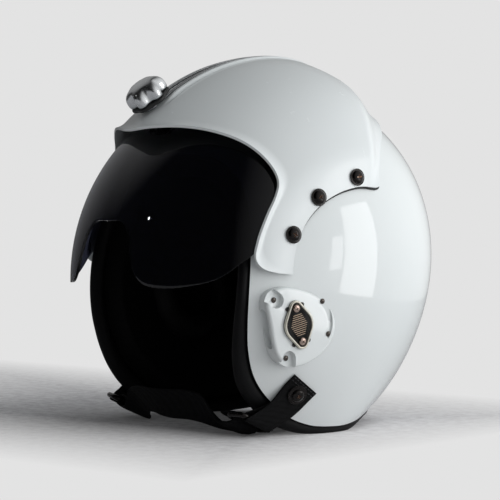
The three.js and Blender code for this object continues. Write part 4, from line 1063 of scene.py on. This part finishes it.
pin_spots = ([(u, v, well_depth) for u, v, _ in wells]
             + [(*spot, ledge_depth) for spot in ledge_screws])
pin = truss_screw("cover_screw_model", 1.9, 1.0, 2.5, recess=0.5)
for name, side in sides:
    place = build_cover(name, side)
    build_badge(name, place, side)
    for i, (u, v, depth) in enumerate(pin_spots):
        placed_copy(pin, f"cover_pin_{name}_{i + 1}", place @ at(u * side, v, 0.3 - depth),
                    pin_steel, f"cover_screw_{name}_{i + 1}")
bpy.data.objects.remove(pin)


# Straps and rings
wire_radius = 1.9
ring_width, ring_depth, ring_corner = 31, 15, 4
ring_bar = np.array([87.0, -65, 11])
ring_across = unit((-0.1, 0.9, -0.42))
ring_in = np.array([-0.93, -0.3, 0])
ring_in = unit(ring_in - ring_across * (ring_in @ ring_across))
ring_face = np.cross(ring_in, ring_across)
tab_thick, chin_thick = 1.1, 2
# How high a tab's two layers, by their middles, and its washer's foot lie over the shell's skin
under_layer, over_layer, washer_foot = 0.9, 2.1, 3.6
tab_screw_spot = (67.2, -40.5)


def build_band(name, centres, ways, thickness, rows, wrinkles=0.0):
    """A webbing band along a curve, its section flat with rounded selvedges. The ways say how its
    width lies at each of the centres."""
    path = spline(centres, rows + 1)
    across = unit(spline(ways, rows + 1))
    face = unit(np.cross(unit(np.gradient(path, axis=0)), across))
    sections = 28
    turn = np.linspace(0, math.tau, sections, endpoint=False)
    wide = np.sign(np.cos(turn)) * np.abs(np.cos(turn)) ** 0.42 * strap_width / 2
    thick = np.sign(np.sin(turn)) * np.abs(np.sin(turn)) ** 0.55 * thickness / 2

    def lay(s, t):
        column = nearest(s, sections)
        row = np.rint(t * rows).astype(int)
        ripple = wrinkles * np.sin(row * 0.55 + wide[column] * 0.25) * np.sin(row * 0.13 + 1)
        aside = across[row] * wide[column][:, None]
        return to_metres(path[row] + aside + face[row] * (thick[column] + ripple)[:, None])
    band = formed_sheet(name, sections, rows, lay, cap=True)
    shade(band, 50)
    return band


def stitch_row(name, places, way):
    """A row of thread stitches: one small capsule, copied along its line."""
    length, radius = 2.2, 0.32
    turn = Vector((0, 0, 1)).rotation_difference(Vector(way)).to_matrix().to_4x4()
    made = []
    for place in places:
        deselect()
        bpy.ops.mesh.primitive_uv_sphere_add(segments=8, ring_count=6, radius=radius * MM)
        stitch = bpy.context.object
        stitch.data.transform(Matrix.Translation(Vector(place)) @ turn
                              @ Matrix.Diagonal((1, 1, length / radius / 2, 1)))
        made.append(stitch)
    row = join_all(name, made)
    shade(row, 60)
    return row


def build_ring(name, side):
    """A wire ring, bent at four round corners."""
    half = ring_width / 2 - ring_corner
    far = ring_depth - ring_corner
    marks = []
    for a, b, start in ((half, ring_corner, -90), (half, far, 0), (-half, far, 90),
                        (-half, ring_corner, 180)):
        for angle in np.radians(start + np.linspace(0, 90, 9)):
            marks.append((a + ring_corner * math.cos(angle), b + ring_corner * math.sin(angle)))
    marks = np.array(marks)
    path = ring_bar + marks[:, :1] * ring_across + marks[:, 1:] * ring_in
    out = np.cross(unit(np.roll(path, -1, 0) - np.roll(path, 1, 0)), ring_face)
    count, around = len(path), 16

    def lay(s, t):
        column = nearest(s, count)
        angle = (nearest(t, around) / around * math.tau)[:, None]
        ray = out[column] * np.cos(angle) + ring_face * np.sin(angle)
        return to_metres(mirrored(path[column] + ray * wire_radius, side))
    ring = formed_sheet(f"strap_loop_{name}", count, around, lay, merge=True)
    shade(ring, 60)
    dress(ring, blackened_steel, [f"strap_ring_{name}"])


def build_tab(name, side):
    """The strap runs in along the shell, round the ring's bar, and back out over itself."""
    stations = ((70.6, -38, 0), (*tab_screw_spot, 0), (61.3, -44.4, 1.7))
    inward, outward = (
        [off_skin(direction(turn, lift), layer + rise) for turn, lift, rise in stations]
        for layer in (under_layer, over_layer))
    to_bar = ring_bar - outward[-1]
    to_bar = unit(to_bar - ring_across * (to_bar @ ring_across))
    outer = unit(np.cross(to_bar, ring_across))
    if outer[0] < 0:
        outer = -outer
    fold = wire_radius + 0.35 + tab_thick / 2
    bend = [ring_bar + fold * (outer * math.cos(angle) + to_bar * math.sin(angle))
            for angle in np.radians(np.linspace(200, 0, 7))]
    path = np.array(inward + bend + outward[::-1])
    end_way = np.array((-0.08, 0.81, -0.58))
    ways = np.array([end_way] * 2 + [ring_across] * 9 + [end_way] * 2)
    rows = 150
    band = build_band(f"jaw_tab_{name}", mirrored(path, side), mirrored(ways, side), tab_thick,
                      rows)
    dress(band, tab_webbing, [f"strap_tab_{name}"])

    # Two stitch lines close to the tab's end, on its outer layer
    end, before = spline(path, rows + 1)[[-1, -12]]
    back = unit(before - end)
    way = unit(end_way)
    places = []
    for from_end in (2.2, 4.6):
        for k in range(8):
            spot = end + back * from_end + way * (k - 3.5) * 2.9
            spot = off_skin(unit(spot - shell_centre), over_layer + tab_thick / 2)
            places.append(to_metres(mirrored(spot, side)))
    stitches = stitch_row(f"tab_stitches_{name}", places, mirrored(way, side))
    dress(stitches, thread_black)

    d = direction(*tab_screw_spot)
    seat = seat_matrix(mirrored(off_skin(d, washer_foot), side), mirrored(skin_normal(d), side),
                       (0, 0, 1))
    washer = turned_form(f"tab_disc_{name}", [(2.2, 0), (7.0, 0), (7.2, 0.25), (7.0, 0.6),
                                              (5.2, 1.0), (2.2, 1.0)], 64)
    washer.data.transform(seat)
    shade(washer, 40)
    dress(washer, blackened_steel, [f"tab_washer_{name}"])
    screw = truss_screw(f"tab_fixing_{name}", 4.4, 2.0, 5, recess=0.45)
    screw.data.transform(seat @ at(0, 0, 1.3))
    dress(screw, blackened_steel, [f"tab_screw_{name}"])


def build_chin_strap():
    """The chin strap folds round the far bars of both rings and hangs between them."""
    fold_out = wire_radius + 0.6 + chin_thick / 2
    far_bar = ring_bar + ring_in * ring_depth
    side_way = ring_face if ring_face[2] > 0 else -ring_face
    fold = [far_bar + ring_in * 12 + side_way * fold_out]
    for angle in np.linspace(0, math.pi, 7):
        fold.append(far_bar + fold_out * (side_way * math.cos(angle) - ring_in * math.sin(angle)))
    fold.append(far_bar + ring_in * 12 - side_way * fold_out)
    middle = [(40, -80, 17.5), (0, -87, 18.5), (-40, -81, 17.5)]
    middle_ways = [(-0.1, 0.35, -0.9), (0, 0.45, -0.85), (0.1, 0.6, -0.75)]
    centres = fold + middle + [mirrored(p, right) for p in fold[::-1]]
    ways = ([ring_across] * len(fold) + middle_ways + [mirrored(ring_across, right)] * len(fold))
    band = build_band("chin_band", centres, ways, chin_thick, 320, wrinkles=0.25)
    dress(band, chin_webbing, ["chin_strap"])


for name, side in sides:
    build_ring(name, side)
    build_tab(name, side)
build_chin_strap()

# Pads
# The pads lie on the liner's solid, which has a gap of this size outside and inside
liner_gap = 1.2
pad_base = shell_wall + liner_gap + liner_wall + liner_gap
cushion_profile = np.array([
    (0.01, 0), (0.45, 0), (0.8, 0), (0.94, 0.05), (1, 0.3), (0.985, 0.6), (0.93, 0.85), (0.82, 1.0),
    (0.6, 1.06), (0.3, 1.1), (0.01, 1.12)])


def within_shell(centre, across, up, height):
    """Places over the liner's inside, so far across and up from a centre, and so high above it."""
    reach = skin_reach(centre, pad_base)
    lean = (0, -1, 0) if abs(centre[2]) > 0.85 else (0, 0, 1)
    u = unit(np.cross(lean, centre))
    v = np.cross(centre, u)
    d = unit(centre + u * (across / reach)[:, None] + v * (up / reach)[:, None])
    return to_metres(on_skin(d, pad_base + height))


def stuff_pad(pad, node, cap_mm):
    """Remeshes a pad, blows it up a little as cloth held within a small cap, and dresses it."""
    apply_modifier(pad, "REMESH", mode="VOXEL", voxel_size=4 * MM)
    start = points_of(pad)
    pick_only(pad)
    cloth = pad.modifiers.new("cloth", "CLOTH")
    cloth.settings.use_pressure = True
    cloth.settings.uniform_pressure_force = 4
    cloth.settings.effector_weights.gravity = 0
    cloth.settings.quality = 4
    for step in range(1, 21):
        bpy.context.scene.frame_set(step)
    bpy.ops.object.modifier_apply(modifier=cloth.name)
    bpy.context.scene.frame_set(1)
    moved = points_of(pad) - start
    length = np.linalg.norm(moved, axis=1, keepdims=True)
    set_points(pad, start + moved * np.minimum(length, cap_mm * MM) / np.maximum(length, 1e-9))
    apply_modifier(pad, "SUBSURF", levels=1, render_levels=1)
    shade(pad, 80)
    dress(pad, pad_leather, [node])


def build_pad(name, centre, half_width, half_height):
    """A crowned cushion with rounded corners, flat on the liner."""
    thickness, shrink = 9, 0.93

    def lay(s, t):
        turn = s * math.tau
        row = np.rint(t * (len(cushion_profile) - 1)).astype(int)
        share, height = cushion_profile[row].T * shrink
        c, q = np.cos(turn), np.sin(turn)
        rounded = share * (np.abs(c) ** 2.6 + np.abs(q) ** 2.6) ** (-1 / 2.6)
        return within_shell(centre, rounded * c * half_width, rounded * q * half_height,
                            height * thickness)
    pad = formed_sheet(f"{name}_cushion", 64, len(cushion_profile) - 1, lay, merge=True)
    stuff_pad(pad, f"{name}_pad", 1.6)


def build_ear_ring(name, side):
    """A ring cushion round the ear, drawn in at eight tufts."""
    half_width, half_height, thickness = 39, 46, 21

    def lay(s, t):
        turn, angle = s * math.tau, t * math.tau
        share = 0.777 + 0.2 * np.cos(angle)
        height = 0.5 + 0.47 * np.sin(angle)
        tuft = 1 - 0.1 * (0.5 + 0.5 * np.cos(turn * 8)) ** 4
        height = np.where(height > 0.5, height * tuft, height)
        return within_shell(direction(84 * side, -16), share * np.cos(turn) * half_width,
                            share * np.sin(turn) * half_height, height * thickness)
    pad = formed_sheet(f"ear_cushion_{name}", 96, 24, lay, merge=True)
    stuff_pad(pad, f"ear_pad_{name}", 1.2)


build_pad("crown", direction(180, 85), 52, 52)
build_pad("brow", direction(0, 50), 58, 17)
build_pad("nape", direction(180, -14), 54, 24)
for name, side in sides:
    build_ear_ring(name, side)

# Nodes carried over
carried = {
    "visor_carriage": blackened_steel, "knob_stem": chrome,
    "visor_guide_left": nylon_black, "visor_guide_right": nylon_black,
    "badge_gasket_left": rubber_black, "badge_gasket_right": rubber_black,
}
for node, finish in carried.items():
    kept = frame["nodes"][node]
    kept.data.materials.clear()
    kept.data.materials.append(finish)

# Floor, backdrop and light
backdrop_grey = "#e3e3e3"


def looked_at(tree):
    """1 where the camera looks straight at a surface, or sees it through glass."""
    rays = [add_node(tree, "LightPath", output=kind)
            for kind in ("Is Camera Ray", "Is Transmission Ray")]
    return add_node(tree, "Math", rays, operation="MAXIMUM")


def lay_backdrop(s, t):
    """A table top: it ends close on the lit side, where the low window shows past it."""
    return (between(-1.6, 0.46, s)[:, None] * np.array(across_view)
            + between(-1.3, 0.8, t)[:, None] * np.array(toward))


def backdrop_finish():
    """Matt seamless paper: pale grey and faintly mottled. The camera sees it washed out to an even
    tone everywhere but in the long soft shadow that falls away to the helmet's left."""
    finish, tree, place = new_finish("seamless_paper", Roughness=0.9, Specular_IOR_Level=0.1)
    fibre = add_node(tree, "TexNoise", {"Vector": place, "Scale": METRE / 9, "Detail": 6,
                                        "Roughness": 0.7})
    blotch = add_node(tree, "MapRange", [fibre, 0.36, 0.64, 0, 1])
    light_way = (toward * 0.66 + across_view * 0.75).normalized()
    cross_way = toward * -0.75 + across_view * 0.66
    before, aside = (add_node(tree, "VectorMath", [place, tuple(way)], "Value",
                              operation="DOT_PRODUCT") for way in (light_way, cross_way))
    aside = add_node(tree, "Math", [aside], operation="ABSOLUTE")
    share = add_node(tree, "MapRange", [aside, 0.07, 0.27, 0.03, 1])
    for near, far in ((0.05, 0.18), (-0.2, -0.75)):
        wash = add_node(tree, "MapRange", [before, near, far, 0, 1])
        share = add_node(tree, "Math", [share, wash], operation="MAXIMUM")
    share = add_node(tree, "Math", [share, looked_at(tree)], operation="MULTIPLY")
    glow = add_node(tree, "Emission", [backdrop_grey, 1.0])
    lit = tree.nodes["Principled BSDF"].outputs[0]
    mix = add_node(tree, "MixShader", [share, lit, glow])
    tree.links.new(mix, tree.nodes["Material Output"].inputs["Surface"])
    return complete(finish, (blotch, "#c6c3c5", "#ecebec"))


backdrop = formed_sheet("table_paper", 8, 8, lay_backdrop, centre=(0, 0, -5))
backdrop.data.materials.clear()
backdrop.data.materials.append(backdrop_finish())


def studio_world():
    """Even room light for surfaces, the pale background for the camera, and for mirrors a room
    that is pale behind the helmet and dark on the camera's side."""
    world = bpy.data.worlds.new("studio_room")
    bpy.context.scene.world = world
    world.use_nodes = True
    tree = world.node_tree
    tree.nodes.clear()
    ray = add_node(tree, "TexCoord", output="Generated")
    patch = (-toward * 0.73 - across_view * 0.38 + Vector((0, 0, 0.56))).normalized()
    behind, beside, ceiling = (
        add_node(tree, "VectorMath", [ray, tuple(way)], "Value", operation="DOT_PRODUCT")
        for way in (-toward, across_view, patch))
    room = add_node(tree, "MapRange", [behind, 0.5, 1, 0.01, 0.15])
    for facing, near, far, bright in ((beside, -0.05, 0.7, 0.9), (ceiling, 0.8, 1, 0.3)):
        wall = add_node(tree, "MapRange", [facing, near, far, 0, bright])
        room = add_node(tree, "Math", [room, wall], operation="ADD")
    side_light = add_node(tree, "MapRange", [beside, 0, 1, 0, 1])
    side_light = add_node(tree, "Math", [side_light, 1.25], operation="POWER")
    front_light = add_node(tree, "MapRange", [behind, 0.1, -1, 0, 0.42])
    soft = add_node(tree, "Math", [side_light, 2.1, front_light], operation="MULTIPLY_ADD")
    lit = add_node(tree, "Background", ["#eef1f3", soft])
    mirror = add_node(tree, "Background", [backdrop_grey, room])
    plain = add_node(tree, "Background", [backdrop_grey, 1.0])
    glossy = add_node(tree, "LightPath", output="Is Glossy Ray")
    first = add_node(tree, "MixShader", [glossy, lit, mirror])
    last = add_node(tree, "MixShader", [looked_at(tree), first, plain])
    tree.links.new(last, tree.nodes.new("ShaderNodeOutputWorld").inputs["Surface"])


studio_world()
lamp_aim = Vector((0, 0, 0.12))


def area_lamp(name, way, distance, width, height, radiance, in_mirrors=True):
    """A soft rectangular lamp: way is (to the camera's right, towards it, up)."""
    spot = Vector(way).normalized() * distance
    data = bpy.data.lights.new(name, "AREA")
    data.shape = "RECTANGLE"
    data.size = width
    data.size_y = height
    data.energy = radiance * math.pi * width * height
    lamp = bpy.data.objects.new(name, data)
    bpy.context.scene.collection.objects.link(lamp)
    lamp.location = lamp_aim + across_view * spot.x + toward * spot.y + Vector((0, 0, spot.z))
    lamp.rotation_euler = (lamp.location - lamp_aim).to_track_quat("Z", "Y").to_euler()
    lamp.visible_glossy = in_mirrors
    lamp.visible_camera = False


# A tall window with a bar: its two panes are what the gloss of the shell mirrors
area_lamp("window_pane", (0.945, 0.317, 0.09), 2.4, 0.7, 1.65, 2.4)
area_lamp("window_side_pane", (0.857, 0.515, 0.05), 2.4, 0.26, 0.62, 2.0)
area_lamp("front_bank", (0.6, 0.75, 0.12), 2.2, 1.8, 1.6, 0.4, in_mirrors=False)
# Two small far lamps that show only as glints in the visor
area_lamp("far_glint", (-0.89, 0.13, 0.43), 2.4, 0.05, 0.05, 40.0)
area_lamp("far_glint_low", (-0.88, -0.38, 0.17), 2.4, 0.03, 0.03, 14.0)


deselect()
